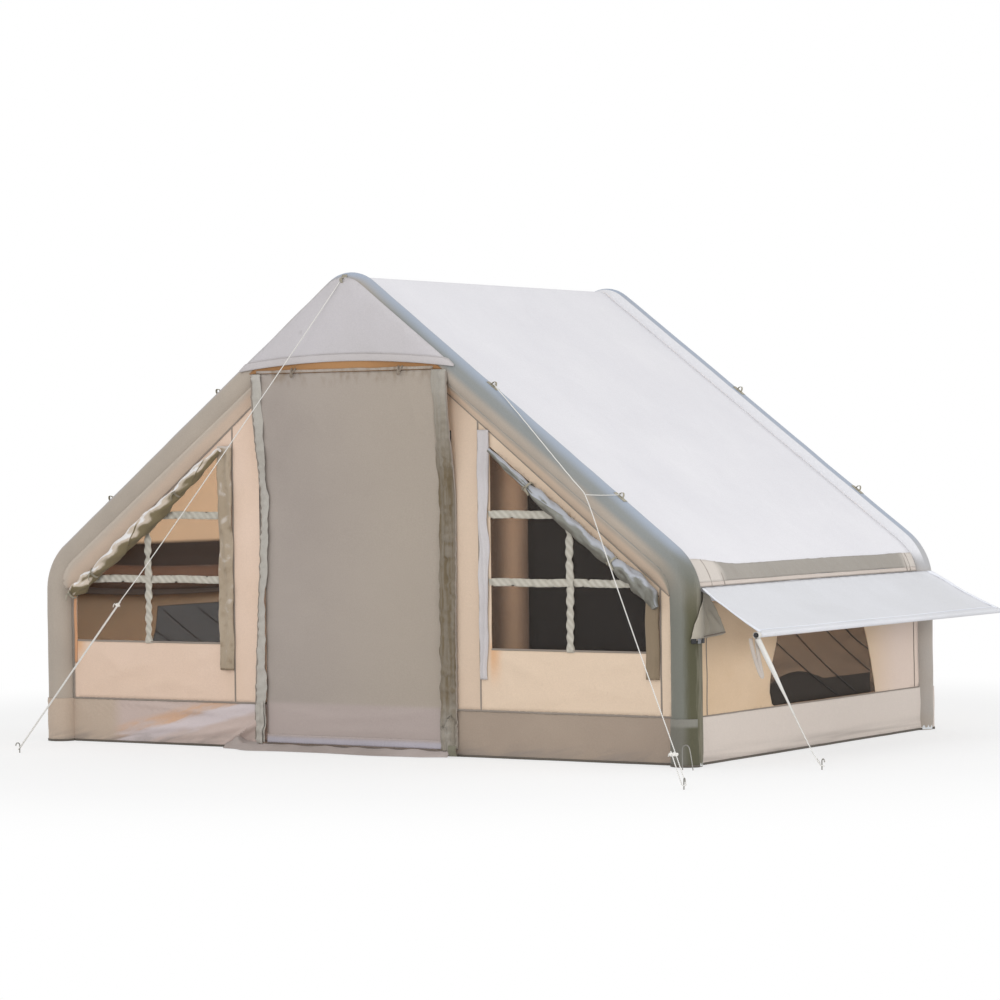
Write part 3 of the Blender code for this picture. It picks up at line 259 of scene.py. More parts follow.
cords = {
    "left_guy_cord": (left_route, 0.002, 3.20, "fitting", ["left_guy_runner"], "left_guy_line"),
    "right_guy_cord": (right_route, 0.002, 2.39, "fitting", ["right_guy_runner"], "right_guy_line"),
    "right_branch_cord": (branch_route, 0.0015, 0.15, "knot", [], "right_guy_branch"),
    "awning_cord": (awning_route, 0.002, 0.28, "knot", [], "awning_guy_line"),
}
for name, (route, radius, length, far_end, fittings, node) in cords.items():
    line = bent_curve(name, route, radius, white_braid, "root")
    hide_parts(node)
    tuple(route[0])

# Air frame: two arches and three beams of welded film, blown hard inside sleeves of
# grey-beige polyester. The sleeves crease on the inside of their bends, and webbing
# loops for the guy lines are box-stitched to their tops.

half_span, half_depth, knee_height, apex_height = 1.584, 1.0275, 0.758, 1.9634
knee_bend, apex_bend, tube_radius = 0.200, 0.100, 0.0625
slope = math.atan2(apex_height - knee_height, half_span)
knee_turn = math.pi / 2 - slope
knee_middle = (half_span - knee_bend, knee_height - knee_bend * math.tan(knee_turn / 2))
apex_middle = apex_height - apex_bend / math.cos(slope)
cloth_thickness = 0.003


def spaced(start, end, count):
    """Evenly spaced values from start to end, both included."""
    return [start + (end - start) * i / count for i in range(count + 1)]


def arch_line(offset, foot, step):
    """(x, z, outward angle) up the right half of an arch, from its foot to its apex."""
    rise = knee_middle[1] - foot
    line = [(half_span + offset, z, 0) for z in spaced(foot, knee_middle[1], round(rise / step))]
    reach = knee_bend + offset
    for a in spaced(0, knee_turn, 12)[1:]:
        line.append((knee_middle[0] + reach * math.cos(a), knee_middle[1] + reach * math.sin(a), a))
    start = line[-1]
    reach = apex_bend + offset
    end = (reach * math.sin(slope), apex_middle + reach * math.cos(slope))
    count = round(math.dist(start[:2], end) / step)
    for x, z in zip(spaced(start[0], end[0], count)[1:], spaced(start[1], end[1], count)[1:]):
        line.append((x, z, knee_turn))
    for a in spaced(knee_turn, math.pi / 2, 6)[1:]:
        line.append((reach * math.cos(a), apex_middle + reach * math.sin(a), a))
    return line


def rafter(x, offset=0.0):
    """Height of the line that far outside a rafter's middle."""
    return apex_height + offset / math.cos(slope) - abs(x) * math.tan(slope)


def make_piece(name, bm):
    """A smooth-shaded piece from a bmesh."""
    mesh = bpy.data.meshes.new(name)
    bm.to_mesh(mesh)
    bm.free()
    mesh.shade_smooth()
    mesh.set_sharp_from_angle(angle=math.radians(50))
    made = bpy.data.objects.new(name, mesh)
    bpy.context.collection.objects.link(made)
    return made


def skin(name, rows, around=False):
    """Quads over rows of points, in metres of UV; around makes a closed, capped tube."""
    bm = bmesh.new()
    chart = bm.loops.layers.uv.new("UVMap")
    rows = [[Vector(p) for p in row] for row in rows]
    grid = [[bm.verts.new(p) for p in row] for row in rows]
    middle = rows[len(rows) // 2]
    girth = middle + middle[:1] if around else middle
    wide, long = [0.0], [0.0]
    for a, b in zip(girth, girth[1:]):
        wide.append(wide[-1] + (b - a).length)
    for a, b in zip(rows, rows[1:]):
        long.append(long[-1] + (b[len(b) // 2] - a[len(a) // 2]).length)
    for r in range(len(rows) - 1):
        for c in range(len(wide) - 1):
            d = (c + 1) % len(middle)
            face = bm.faces.new((grid[r][c], grid[r][d], grid[r + 1][d], grid[r + 1][c]))
            spots = ((c, r), (c + 1, r), (c + 1, r + 1), (c, r + 1))
            for loop, (u, v) in zip(face.loops, spots):
                loop[chart].uv = (wide[u], long[v])
    if around:
        bm.faces.new(grid[0])
        bm.faces.new(grid[-1])
        bmesh.ops.recalc_face_normals(bm, faces=bm.faces[:])
    return make_piece(name, bm)


def apply_modifier(piece, kind, **settings):
    """Adds a modifier with these settings and applies it."""
    modifier = piece.modifiers.new(kind, kind)
    for key, value in settings.items():
        setattr(modifier, key, value)
    bpy.ops.object.select_all(action="DESELECT")
    bpy.context.view_layer.objects.active = piece
    piece.select_set(True)
    bpy.ops.object.modifier_apply(modifier=modifier.name)


def thicken(piece, thickness=cloth_thickness):
    """Gives a sheet the cloth's thickness, to both sides of it."""
    apply_modifier(piece, "SOLIDIFY", thickness=thickness, offset=0, use_even_offset=True)
    return piece


def cloth(name, rows, thickness=cloth_thickness):
    """A sheet of cloth through rows of points."""
    return thicken(skin(name, rows), thickness)


def dress(piece, finish, slot, *nodes, body="root"):
    """Finish, body and the solids that a piece stands for; slot is not used."""
    piece.data.materials.append(finish)
    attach(piece, body)
    if nodes:
        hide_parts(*nodes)
    return piece


def hump(t):
    """Rises from 0 to 1 in the middle and falls again, as t goes from 0 to 1."""
    return math.sin(math.pi * t)


def bell(t):
    """1 at 0, falling away to both sides over a distance of about 1."""
    return math.exp(-(t**2))


def wobble(*place):
    """Smooth noise at a place, about -0.5 to 0.5."""
    return noise.noise(Vector(place))


def rumple(place, size, depth, seed=0.0):
    """Soft uneven bumps of that size and depth at a place."""
    return depth * noise.noise(Vector(place) / size + Vector((seed, 1.7 * seed, 0.3)))


def woven(name, colour, dark, rough=0.8, period=0.0024, crease=0.0035, sheen=0.1, fade=None):
    """Plain-woven cloth: fine threads, faint blotches and soft creases."""
    ink = Finish(name)
    place, chart = ink.coords(), ink.coords("UV")
    thread = {"Distortion": 0.6, "Detail Scale": 0.4}
    weave = ink.both(*[ink.waves(chart, 0.314 / period, way, **thread) for way in "XY"])
    blotch = ink.noise(place, 2.3, Detail=3.0, Roughness=0.55)
    shade = ink.tint(dark, colour, ink.scale(blotch, 0.3, 0.7))
    if fade:
        shade = fade(ink, place, shade)
    speck = ink.scale(ink.noise(place, 210.0, Detail=2.0), 0.3, 0.7, 0.93)
    darken = ink.both(speck, ink.scale(weave, 0, 1, 0.93, 1.02))
    sockets = {0: 1.0, 6: shade, 7: darken}
    shade = ink.add("Mix", sockets, 2, data_type="RGBA", blend_type="MULTIPLY")
    creased = ink.bump(ink.noise(place, 7.0, Detail=4.0, Distortion=0.9), crease, 0.55)
    sockets = {"Base Color": shade, "Roughness": ink.scale(blotch, 0, 1, rough - 0.06, rough + 0.06)}
    sockets |= {"Sheen Weight": sheen, "Sheen Roughness": 0.5, "Specular IOR Level": 0.25}
    return ink.coat(sockets | {"Normal": ink.bump(weave, 0.0003, 0.5, Normal=creased)})


def sky_and_shade_tint(ink, place, shade):
    """Painted sky reflection: bluish where the cloth faces up. Painted shade: greyer on the right, paler grey
    on the rear arch, and olive down the right front leg, darker where it faces right. Pale on the rear arch's
    upper front.
    """
    (across, depth, height), (sideways, back, up) = ink.axes(place), ink.facing()
    streak = ink.noise(ink.stretch(place, 26.0, 26.0, 3.0), 5.0, Detail=3.0)
    sideways = ink.calc("MULTIPLY_ADD", streak, 0.25, sideways)
    rear = ink.level(depth, -0.1, 0.1)
    # Painted shade: greyer on the right, paler grey on the rear arch.
    grey = ink.tint("8B8E8D", "B2B2B4", rear)
    shade = ink.tint(shade, grey, (up, -0.15, 0.30), (across, -0.10, 0.35))
    # Painted shade: olive on the right front leg, darker where it faces right.
    olive = ink.tint("76776F", "55533F", (sideways, 0.27, 0.84))
    olive = ink.tint(olive, "757160", (sideways, 1.02, 1.14))
    shade = ink.tint(shade, olive, (across, 1.30, 1.56), (height, 1.00, 0.55), (rear, 1.0, 0.0))
    # Painted sky reflection where the cloth faces up.
    shade = ink.tint(shade, "A3AEBF", (up, 0.45, 0.92))
    facing = (back, -0.36, -0.44), (up, 0.10, 0.30), (height, 0.72, 0.80)
    return ink.tint(shade, "DFDFE3", rear, *facing)


sleeve_cloth = woven("sleeve_cloth", "B5A99C", "A69C91", 0.72, crease=0.006, fade=sky_and_shade_tint)
tube_sides, knee_crease, crease_period, tube_swell = 40, 0.0045, 0.034, 0.0014
for label, side in (("front", -1), ("rear", 1)):
    half = arch_line(0, 0, 0.028)
    rows = []
    for x, z, a in half + [(-x, z, math.pi - a) for x, z, a in reversed(half[:-1])]:
        middle = Vector((x, side * half_depth, z))
        bend = bell((math.dist((abs(x), z), knee_middle) - knee_bend) / 0.04) * bell((z - 0.745) / 0.13)
        row = []
        for i in range(tube_sides):
            turn = 2 * math.pi * i / tube_sides
            out = Vector((math.cos(a) * math.cos(turn), math.sin(turn), math.sin(a) * math.cos(turn)))
            spot = middle + out * tube_radius
            inner = max(0, -math.cos(turn)) ** 0.7
            ripple = math.sin(2 * math.pi * z / crease_period + 3 * noise.noise(spot * 9))
            size = tube_radius + rumple(spot, 0.12, tube_swell) - 0.0005
            size += bend * inner * knee_crease * max(-0.1, ripple)
            row.append(middle + out * (size - max(0, 1 - z / 0.05) * 0.004))
        rows.append(row)
    sleeve = skin(f"{label}_arch", rows, around=True)
    dress(sleeve, sleeve_cloth, "sleeve", f"{label}_arch_sleeve")

beam_end, eave_drop, roof_edge, beam_sides = 0.9645, 0.040, 0.9692, 32
# Peach-brown is painted shade and glow, for the beam sleeves as they look in the dim inside of the tent.
beam_cloth = woven("beam_cloth", "9A7B68", "896B59", 0.8, crease=0.006)
beams = {"ridge_beam": (0, 1.9284, 0.050, 0), "left_eave_beam": (-1.5352, 0.729, 0.055, eave_drop)}
beams["right_eave_beam"] = (1.5352, 0.729, 0.055, eave_drop)
for name, (x, z, radius, drop) in beams.items():
    rows = []
    for y in spaced(-beam_end, beam_end, 60):
        middle = Vector((x, y, z - drop * (1 - (y / roof_edge) ** 2)))
        row = []
        for i in range(beam_sides):
            turn = 2 * math.pi * i / beam_sides
            out = Vector((math.cos(turn), 0, math.sin(turn)))
            row.append(middle + out * (radius - 0.0012 + rumple(middle + out * radius, 0.09, 0.0016)))
        rows.append(row)
    sleeve = skin(name, rows, around=True)
    dress(sleeve, beam_cloth, "sleeve", f"{name}_sleeve")

ink = Finish("welded_film")
film_sockets = {"Base Color": "D3D7DA", "Roughness": 0.3}
film = ink.coat(film_sockets | {"Normal": ink.bump(ink.noise(ink.coords(), 30.0), 0.002)})
for name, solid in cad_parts.items():
    if name.endswith("_bladder"):
        solid.data.materials[0] = film

webbing = woven("webbing", "A9A494", "8F8674", 0.85, period=0.0036, crease=0.002)


def ribbon(points, across, width):
    """Rows for a flat band that follows points and lies along across."""
    wide = Vector(across).normalized() * width / 2
    return [[p - wide, p - wide / 3, p + wide / 3, p + wide] for p in map(Vector, points)]


loop_half, loop_height, loop_width, patch_half, patch_wide = 0.011, 0.021, 0.012, 0.030, 0.013
apex_lean = 3 * math.pi / 8
for label, side in (("front", -1), ("rear", 1)):
    spots = []
    for flank in (-1, 1):
        for x in (0.659, 1.254):
            out = Vector((flank * math.sin(slope), 0, math.cos(slope)))
            along = Vector((math.cos(slope), 0, -flank * math.sin(slope)))
            spots.append((Vector((flank * x, side * half_depth, rafter(x))), out, along))
    out = Vector((0, side * math.sin(apex_lean), math.cos(apex_lean)))
    along = Vector((0, -side * math.cos(apex_lean), math.sin(apex_lean)))
    spots.append((Vector((0, side * half_depth, apex_middle + apex_bend)), out, along))
    for i, (middle, out, along) in enumerate(spots):
        root, across = middle + out * tube_radius, along.cross(out)
        arc = []
        for a in spaced(0, math.pi, 14):
            arc.append(root + along * loop_half * math.cos(a) + out * (loop_height * math.sin(a) - 0.001))
        loop = cloth(f"{label}_guy_loop_{i}", ribbon(arc, across, loop_width), 0.0016)
        dress(loop, webbing, "webbing")
        bow = 0.4 / tube_radius * abs(along.y)
        rows = []
        for s in spaced(-patch_half, patch_half, 8):
            row = []
            for w in spaced(-patch_wide, patch_wide, 6):
                sink = tube_radius - math.sqrt(tube_radius**2 - w * w) if abs(along.y) < 0.1 else 0
                row.append(root + along * s - out * bow * s * s + across * w + out * (0.0009 - sink))
            rows.append(row)
        dress(cloth(f"{label}_guy_patch_{i}", rows, 0.0014), webbing, "webbing")


# Roof: one coated white cloth over each slope, stretched from the ridge beam over the
# eave beam to the eave seam, where it sags a little between the arches.

ridge_height, ridge_reach, cloth_rise, roof_foot, roof_dip = 1.9284, 0.0522, 0.0246, 0.650, 0.048


def eave_sag(y):
    """How far the eave seam hangs below its ends."""
    return eave_drop * (1 - (y / roof_edge) ** 2)


def roof_line(side, y):
    """Points from the ridge down the slope and over the knee to the eave seam."""
    belly, sag, bend = 1 - (y / roof_edge) ** 2, eave_sag(y), knee_bend + cloth_rise
    line = []
    for a in spaced(math.pi / 2, math.pi / 2 - slope, 4):
        line.append((max(ridge_reach * math.cos(a), 0.0012), ridge_height + ridge_reach * math.sin(a)))
    knee = []
    for a in spaced(knee_turn, 0, 12):
        knee.append((knee_middle[0] + bend * math.cos(a), knee_middle[1] + bend * math.sin(a) - sag))
    start, end = line[-1], (knee[0][0], knee[0][1] + sag)
    for t in spaced(0, 1, 44)[1:-1]:
        dip = roof_dip * t * (1 - t) * belly
        x = start[0] + (end[0] - start[0]) * t - dip * math.sin(slope)
        z = start[1] + (end[1] - start[1]) * t - dip * math.cos(slope) - sag * t * t
        line.append((x, z))
    drop = [(knee[-1][0], z) for z in spaced(knee[-1][1], roof_foot - sag, 4)[1:]]
    return [Vector((side * x, y, z)) for x, z in line + knee + drop]


def underside_glow_and_shade(ink, place, shade):
    """Painted glow: peach on the underside, where sunlight comes through the cloth, also given off as
    emission; painted shade in brown-grey on the underside below 0.852 m, near the eave.
    """
    under = ink.scale(ink.facing()["Z"], -0.35, -0.05, 1.0, 0.0)
    # Painted shade below 0.852 m on the underside; painted glow above it.
    lit = ink.scale(ink.axes(place)["Z"], 0.852, 0.870)
    glow = ink.calc("MULTIPLY", ink.both(under, lit), 1.6)
    ink.coat({"Emission Color": "EBC7A2", "Emission Strength": glow})
    return ink.tint(shade, ink.tint("7D6E64", "EDC79F", lit), under)


roof_cloth = woven("roof_cloth", "E6E5E9", "E0DFE4", 0.62, crease=0.008, sheen=0.05, fade=underside_glow_and_shade)
for label, side in (("left", -1), ("right", 1)):
    rows = []
    for y in spaced(-roof_edge + 0.0005, roof_edge - 0.0005, 54):
        line = roof_line(side, y)
        edge = min(1, (roof_edge - abs(y)) / 0.12)
        row = []
        for i, p in enumerate(line):
            near, far = line[max(0, i - 1)], line[min(len(line) - 1, i + 1)]
            out = Vector((side * (near - far).z, 0, side * (far - near).x)).normalized()
            lift = rumple(p, 0.30, 0.0030) + rumple(p, 0.09, 0.0008)
            lift += bell((p.z - 0.73) / 0.05) * 0.0022 * math.sin(y * 38 + 3 * noise.noise(p * 4))
            row.append(p + out * lift * edge * min(1, i / 8))
        rows.append(row)
    roof = dress(cloth(f"{label}_roof_cloth", rows), roof_cloth, "roof", f"{label}_roof")


# Gables and hoods: the cloth that closes each end above the doorway, and the pale hood
# sewn over it from rafter to rafter, with a stitched hem that curves up over the door.


def cut(name, outline, holes, place, step=0.024, thickness=cloth_thickness):
    """Cloth cut to an outline drawn in (u, v), divided finely and put in place."""
    bm = bmesh.new()
    for loop in (outline, *holes):
        knots = [bm.verts.new((u, v, 0)) for u, v in loop]
        for a, b in zip(knots, knots[1:] + knots[:1]):
            bm.edges.new((a, b))
    bmesh.ops.triangle_fill(bm, use_beauty=True, edges=bm.edges[:])
    for axis in (0, 1):
        values = [spot[axis] for spot in outline]
        low, high = min(values), max(values)
        across = Vector((1 - axis, axis, 0))
        for at in spaced(low, high, max(2, round((high - low) / step)))[1:-1]:
            parts = bm.verts[:] + bm.edges[:] + bm.faces[:]
            bmesh.ops.bisect_plane(bm, geom=parts, dist=1e-6, plane_co=across * at, plane_no=across)
    slanting = []
    for edge in bm.edges:
        run = edge.verts[0].co - edge.verts[1].co
        if len(edge.link_faces) == 2 and min(abs(run.x), abs(run.y)) > 1e-5:
            slanting.append(edge)
    bmesh.ops.dissolve_edges(bm, edges=slanting, use_verts=False)
    chart = bm.loops.layers.uv.new("UVMap")
    for face in bm.faces:
        for loop in face.loops:
            loop[chart].uv = loop.vert.co[:2]
    for vert in bm.verts:
        vert.co = place(vert.co.x, vert.co.y)
    return thicken(make_piece(name, bm), thickness)


def pulls(u, v, creases):
    """Height of long soft creases, each (start, end, width, height), at a spot."""
    total = 0.0
    for (a, b), (c, d), width, height in creases:
        length = math.hypot(c - a, d - b)
        s = ((u - a) * (c - a) + (v - b) * (d - b)) / length
        t = ((u - a) * (d - b) - (v - b) * (c - a)) / length
        if 0 < s < length:
            total += height * hump(s / length) * bell(t / width)
    return total


def seams(name, lines, out, finish, slot, width=0.008, height=0.003, body="root"):
    """Corded seams: a low rounded ridge along each line of points."""
    bm = bmesh.new()
    for line in lines:
        points = [Vector(p) for p in line]
        rows = []
        for before, p, after in zip(points[:1] + points, points, points[1:] + points[-1:]):
            across = (after - before).cross(Vector(out)).normalized() * width / 2
            turns = spaced(0, 2 * math.pi, 8)[:-1]
            ring = [p + across * math.cos(a) + Vector(out) * height * math.sin(a) for a in turns]
            rows.append([bm.verts.new(spot) for spot in ring])
        for low, high in zip(rows, rows[1:]):
            for i in range(8):
                bm.faces.new((low[i - 1], low[i], high[i], high[i - 1]))
        bm.faces.new(rows[0])
        bm.faces.new(rows[-1])
    bmesh.ops.recalc_face_normals(bm, faces=bm.faces[:])
    return dress(make_piece(name, bm), finish, slot, body=body)


jamb, gable_low = 0.4506, 1.5003
inner_edge = -(tube_radius + 0.0003)
front_layer, lintel_layer, hood_layer = 1.0275, 1.0918, 1.0951
hood_low, hood_lap, hood_rise, hem_wide = 1.597, 0.038, 0.034, 0.031


def side_tint(ink, place, shade):
    """Pinker towards the left, sandier to the right, with a painted orange glow beside the window strips, and
    painted pleat shading in brown stripes inside the rear.
    """
    across, depth, height = ink.axes(place)
    shade = ink.tint(shade, "DFC9B2", (across, -0.75, 0.75))
    shade = ink.tint(shade, "D5BFAA", (across, 0.42, 0.46), (across, 0.640, 0.612))
    # Painted orange glow on the front walls beside the window strips.
    for start, middle, end, low in ((0.655, 0.680, 0.740, 0.26), (-1.500, -1.488, -1.430, 0.34)):
        beside = (across, start, middle), (across, end, middle), (depth, 0.2, -0.2)
        shade = ink.tint(shade, "DBB08A", *beside, (height, low, 0.43), (height, 0.50, 0.44))
    shade = ink.tint(shade, "B9B0A4", (across, -1.510, -1.516))
    # Painted shade of folds: brown stripes on the inside of the left rear wall.
    pleat_shade = ink.waves(place, 1.57, "X", **{"Phase Offset": 1.09, "Distortion": 0.4})
    inside = (ink.facing()["Y"], -0.25, -0.35), (depth, 0.49, 0.51), (across, 0.01, -0.01)
    return ink.tint(shade, ink.tint("66584D", "BEA791", pleat_shade), *inside)


def apex_outline(offset, *corners):
    """Outline under the apex, from the corners of its right half up and over."""
    top = [(x, z) for x, z, a in arch_line(offset, 0, 0.05) if a > knee_turn - 0.001 and x < 0.12]
    half = [*corners, *top]
    return half + [(-x, z) for x, z in reversed(half[:-1])]


wall_cloth = woven("wall_cloth", "E4CBB9", "DCC2AD", 0.85, crease=0.009, sheen=0.15, fade=side_tint)
hood_cloth = woven("hood_cloth", "C6C2C5", "BEBABB", 0.75, crease=0.004)
hood_hem_cloth = woven("hood_hem_cloth", "C4BFC0", "BAB4B2", 0.75, crease=0.003)
seam_cord = woven("seam_cord", "9C9288", "8A8077", 0.85, period=0.002, crease=0.001)
hood_half = (apex_height + hood_lap / math.cos(slope) - hood_low) / math.tan(slope)
hem_line = []
for x in spaced(-hood_half, hood_half, 40):
    hem_line.append((x, hood_low + hood_rise * (1 - (x / hood_half) ** 2)))
hood_creases = [
    ((0.02, 1.93), (-0.32, 1.66), 0.03, 0.0035), ((-0.02, 1.93), (0.30, 1.68), 0.03, 0.003),
    ((0, 1.92), (-0.05, 1.64), 0.05, 0.002), ((0.45, 1.62), (0.10, 1.70), 0.035, 0.0025),
    ((-0.45, 1.62), (-0.08, 1.72), 0.035, 0.0025),
]
for label, side, layer in (("front", -1, hood_layer), ("rear", 1, lintel_layer)):

    def gable_place(u, v):
        return Vector((u, side * (front_layer + rumple((u, side, v), 0.12, 0.0012)), v))

    def hood_place(u, v, share=0.0, proud=0.0):
        v += hem_wide * min(1, (hood_half - abs(u)) / 0.04 + 0.15) * share
        lift = pulls(u, v, hood_creases) + rumple((u, side, v), 0.15, 0.0022, 4)
        beyond = (v - rafter(u)) * math.cos(slope)
        if v > apex_middle and abs(u) < (v - apex_middle) / math.tan(slope):
            beyond = math.hypot(u, v - apex_middle) - apex_bend
        girth = layer + 0.0012 - half_depth
        drop = girth - math.sqrt(girth**2 - min(girth, max(0, beyond)) ** 2)
        return Vector((u, side * (layer - drop + max(-0.001, lift) * (beyond < 0) + proud), v))

    outline = apex_outline(inner_edge, (jamb, gable_low), (jamb, rafter(jamb, inner_edge)))
    gable = cut(f"{label}_gable_cloth", outline, [], gable_place)
    dress(gable, wall_cloth, "wall", f"{label}_gable")

    outline = apex_outline(hood_lap, (hood_half, hood_low)) + hem_line[1:-1]
    hood = cut(f"{label}_hood_cloth", outline, [], hood_place)
    dress(hood, hood_cloth, "hood", f"{label}_hood")

    rows = []
    for share in spaced(0, 1, 5):
        row = [hood_place(u, v - 0.002, share) for u, v in hem_line]
        for p in row:
            p.y += side * (0.0026 + 0.0016 * hump(share) + rumple(p, 0.03, 0.0008))
        rows.append(row)
    dress(cloth(f"{label}_hood_hem", rows, 0.002), hood_hem_cloth, "hood")
    upper = [hood_place(u, v, 1, 0.0035) for u, v in hem_line]
    seams(f"{label}_hood_stitching", [upper], (0, side, 0), hood_hem_cloth, "hood", 0.003, 0.0012)


# End walls: beige cloth between the arch legs and the doorways, sewn to the sleeves by
# a slanting flange under each rafter, with corded seams and, in front, a window in each.

skirt_top, window_low, window_near, window_drop = 0.190, 0.445, 0.675, 0.145
window_far, side_seam, door_seam = {-1: 1.496, 1: 1.462}, {-1: 1.514, 1: 1.470}, {-1: 0.630, 1: 0.620}
wall_creases = {
    -1: [
        ((-1.45, 0.24), (-1.05, 0.37), 0.018, 0.007), ((-1.30, 0.21), (-0.85, 0.30), 0.020, 0.006),
        ((-0.72, 0.23), (-1.05, 0.28), 0.015, 0.006), ((-0.68, 0.42), (-0.95, 0.33), 0.020, 0.006),
        ((-1.40, 0.42), (-1.20, 0.30), 0.020, 0.006), ((-0.57, 1.30), (-0.56, 0.5), 0.02, 0.003),
    ],
    1: [
        ((0.68, 0.42), (0.95, 0.32), 0.020, 0.006), ((1.44, 0.25), (1.05, 0.31), 0.018, 0.005),
        ((0.70, 0.22), (1.10, 0.27), 0.020, 0.006), ((1.40, 0.42), (1.15, 0.36), 0.015, 0.006),
        ((0.56, 1.28), (0.555, 0.45), 0.02, 0.003), ((1.49, 0.6), (1.48, 0.25), 0.012, 0.002),
    ],
}


def wall_outline(flank):
    """Wall between the doorway and a leg, up to the underside of the rafter."""
    line = [(x, z) for x, z, _ in arch_line(inner_edge, skirt_top, 0.05) if x > jamb + 0.001]
    points = [(jamb, skirt_top), *line, (jamb, rafter(jamb, inner_edge))]
    return [(flank * x, z) for x, z in points]


def window_outline(flank, grow):
    """Window opening: square below, with its top sloped along the rafter."""
    low, near, far = window_low - grow, window_near - grow, window_far[flank] + grow
    high = grow - window_drop
    points = [(near, low), (far, low), (far, rafter(far, high)), (near, rafter(near, high))]
    return [(flank * x, z) for x, z in points]


def flange_tint(ink, place, shade):
    """The sleeve's colours, with their painted sky reflection and shade, where the flange leaves the tube;
    paler on the left as painted light against the shade under the tube; turning beige at the seam.
    """
    across, away = ink.axes(place)["X"], ink.axes(ink.coords("UV"))["X"]
    # Painted light: the left flanges paler, against the shade under the tube.
    shade = ink.tint(sky_and_shade_tint(ink, place, shade), "C1B5A8", (across, 0.1, -0.1))
    return ink.tint(shade, ink.tint("CFBBA9", "CFBAA5", (across, -0.5, 0.5)), (away, 0.008, 0.042))


flange_cloth = woven("flange_cloth", "B5A99C", "A69C91", 0.72, crease=0.006, fade=flange_tint)
for label, side in (("front", -1), ("rear", 1)):
    for way, flank in (("left", -1), ("right", 1)):

        def wall_place(u, v, proud=0.0):
            lift = pulls(u, v, wall_creases[flank]) + rumple((u, side, v), 0.10, 0.0022)
            lift *= min(1, max(0, (abs(u) - 0.50) / 0.04))
            pucker = bell((v - skirt_top) / 0.02) * 0.0018 * math.sin(u * 150)
            return Vector((u, side * (front_layer + 0.0005 + lift + pucker + proud), v))

        holes = [window_outline(flank, 0)] if side < 0 else []
        wall = cut(f"{label}_{way}_wall_cloth", wall_outline(flank), holes, wall_place, 0.020)
        dress(wall, wall_cloth, "wall", f"{label}_{way}_wall")

        ends = [(door_seam[flank], 0.192, door_seam[flank], 1.38, 60)]
        ends += [(side_seam[flank], 0.192, side_seam[flank], 0.70, 26), (0.46, 0.192, 1.52, 0.190, 60)]
        if side < 0:
            ends.append((window_near, 0.443, window_far[flank], 0.443, 40))
        lines = []
        for a, low, b, high, count in ends:
            spots = zip(spaced(flank * a, flank * b, count), spaced(low, high, count))
            lines.append([wall_place(u, v, 0.0018) for u, v in spots])
        seams(f"{label}_{way}_wall_seams", lines, (0, side, 0), seam_cord, "wall")

        rows = []
        for x, z, a in arch_line(0, 0.5, 0.03):
            inward = (-math.cos(a), -math.sin(a))
            gap = (z - 0.67 + 0.79 * (x - 1.51)) / -(inward[1] + 0.79 * inward[0])
            if x < 0.40 or a > knee_turn + 0.01 or gap < tube_radius * 1.05:
                continue
            touch = math.acos(tube_radius / gap)
            top = (tube_radius * math.cos(touch), tube_radius * math.sin(touch))
            row = []
            for share in spaced(0, 1, 8):
                reach = top[0] + (gap - top[0]) * share
                out = top[1] * (1 - share) - 0.0010 + 0.0022 * min(1, share * 6) + 0.0012 * share
                spot = Vector((flank * (x + inward[0] * reach), 0, z + inward[1] * reach))
                ripple = rumple(spot, 0.05, 0.0012) * hump(share) ** 0.5
                spot.y = side * (front_layer + out - 0.0005 * hump(share) + ripple)
                row.append(spot)
            rows.append(row)
        edge_line = [row[-1] + Vector((0, side * 0.001, 0)) for row in rows]
        flange = cloth(f"{label}_{way}_flange", rows, 0.002)
        dress(flange, flange_cloth, "sleeve")
        seam_name = f"{label}_{way}_flange_seam"
        seams(seam_name, [edge_line], (0, side, 0), seam_cord, "sleeve", 0.007, 0.003)


# Front windows: dark insect mesh behind each opening, barred with twisted webbing. The
# curtain that closes it is rolled up under the rafter and tied, and the strips that it
# is fastened to hang down the upright sides.


def smooth(t):
    """Eases from 0 to 1."""
    t = min(1, max(0, t))
    return t * t * (3 - 2 * t)


def see_through(name, colour, cover):
    """Insect mesh: fine dark threads that partly hide what lies behind."""
    ink = Finish(name)
    chart = ink.coords("UV")
    thread = ink.calc("MAXIMUM", *[ink.waves(chart, 240.0, way) for way in "XY"])
    hide = ink.scale(thread, 0, 1, cover - 0.15, cover + 0.06)
    return ink.coat({"Base Color": colour, "Roughness": 0.8, "Alpha": hide})


def twisted_bar(name, start, end, width, layer):
    """A webbing bar across a window, turning a little to and fro along its length."""
    start, end = Vector(start), Vector(end)
    along = (end - start).normalized()
    across, out = Vector((-along.z, 0, along.x)), Vector((0, -1, 0))
    rows = []
    for s in spaced(0, (end - start).length, round((end - start).length / 0.006)):
        turn = 0.30 * math.sin(s * 130) + 0.20 * math.sin(s * 61 + 1)
        middle = start + along * s + out * (layer + 0.0012 * math.sin(s * 40))
        middle += across * 0.0014 * math.sin(s * 19)
        tilt = across * math.cos(turn) + out * math.sin(turn)
        rows.append([middle + tilt * w for w in spaced(-width / 2, width / 2, 4)])
    return cloth(name, rows, 0.0018)


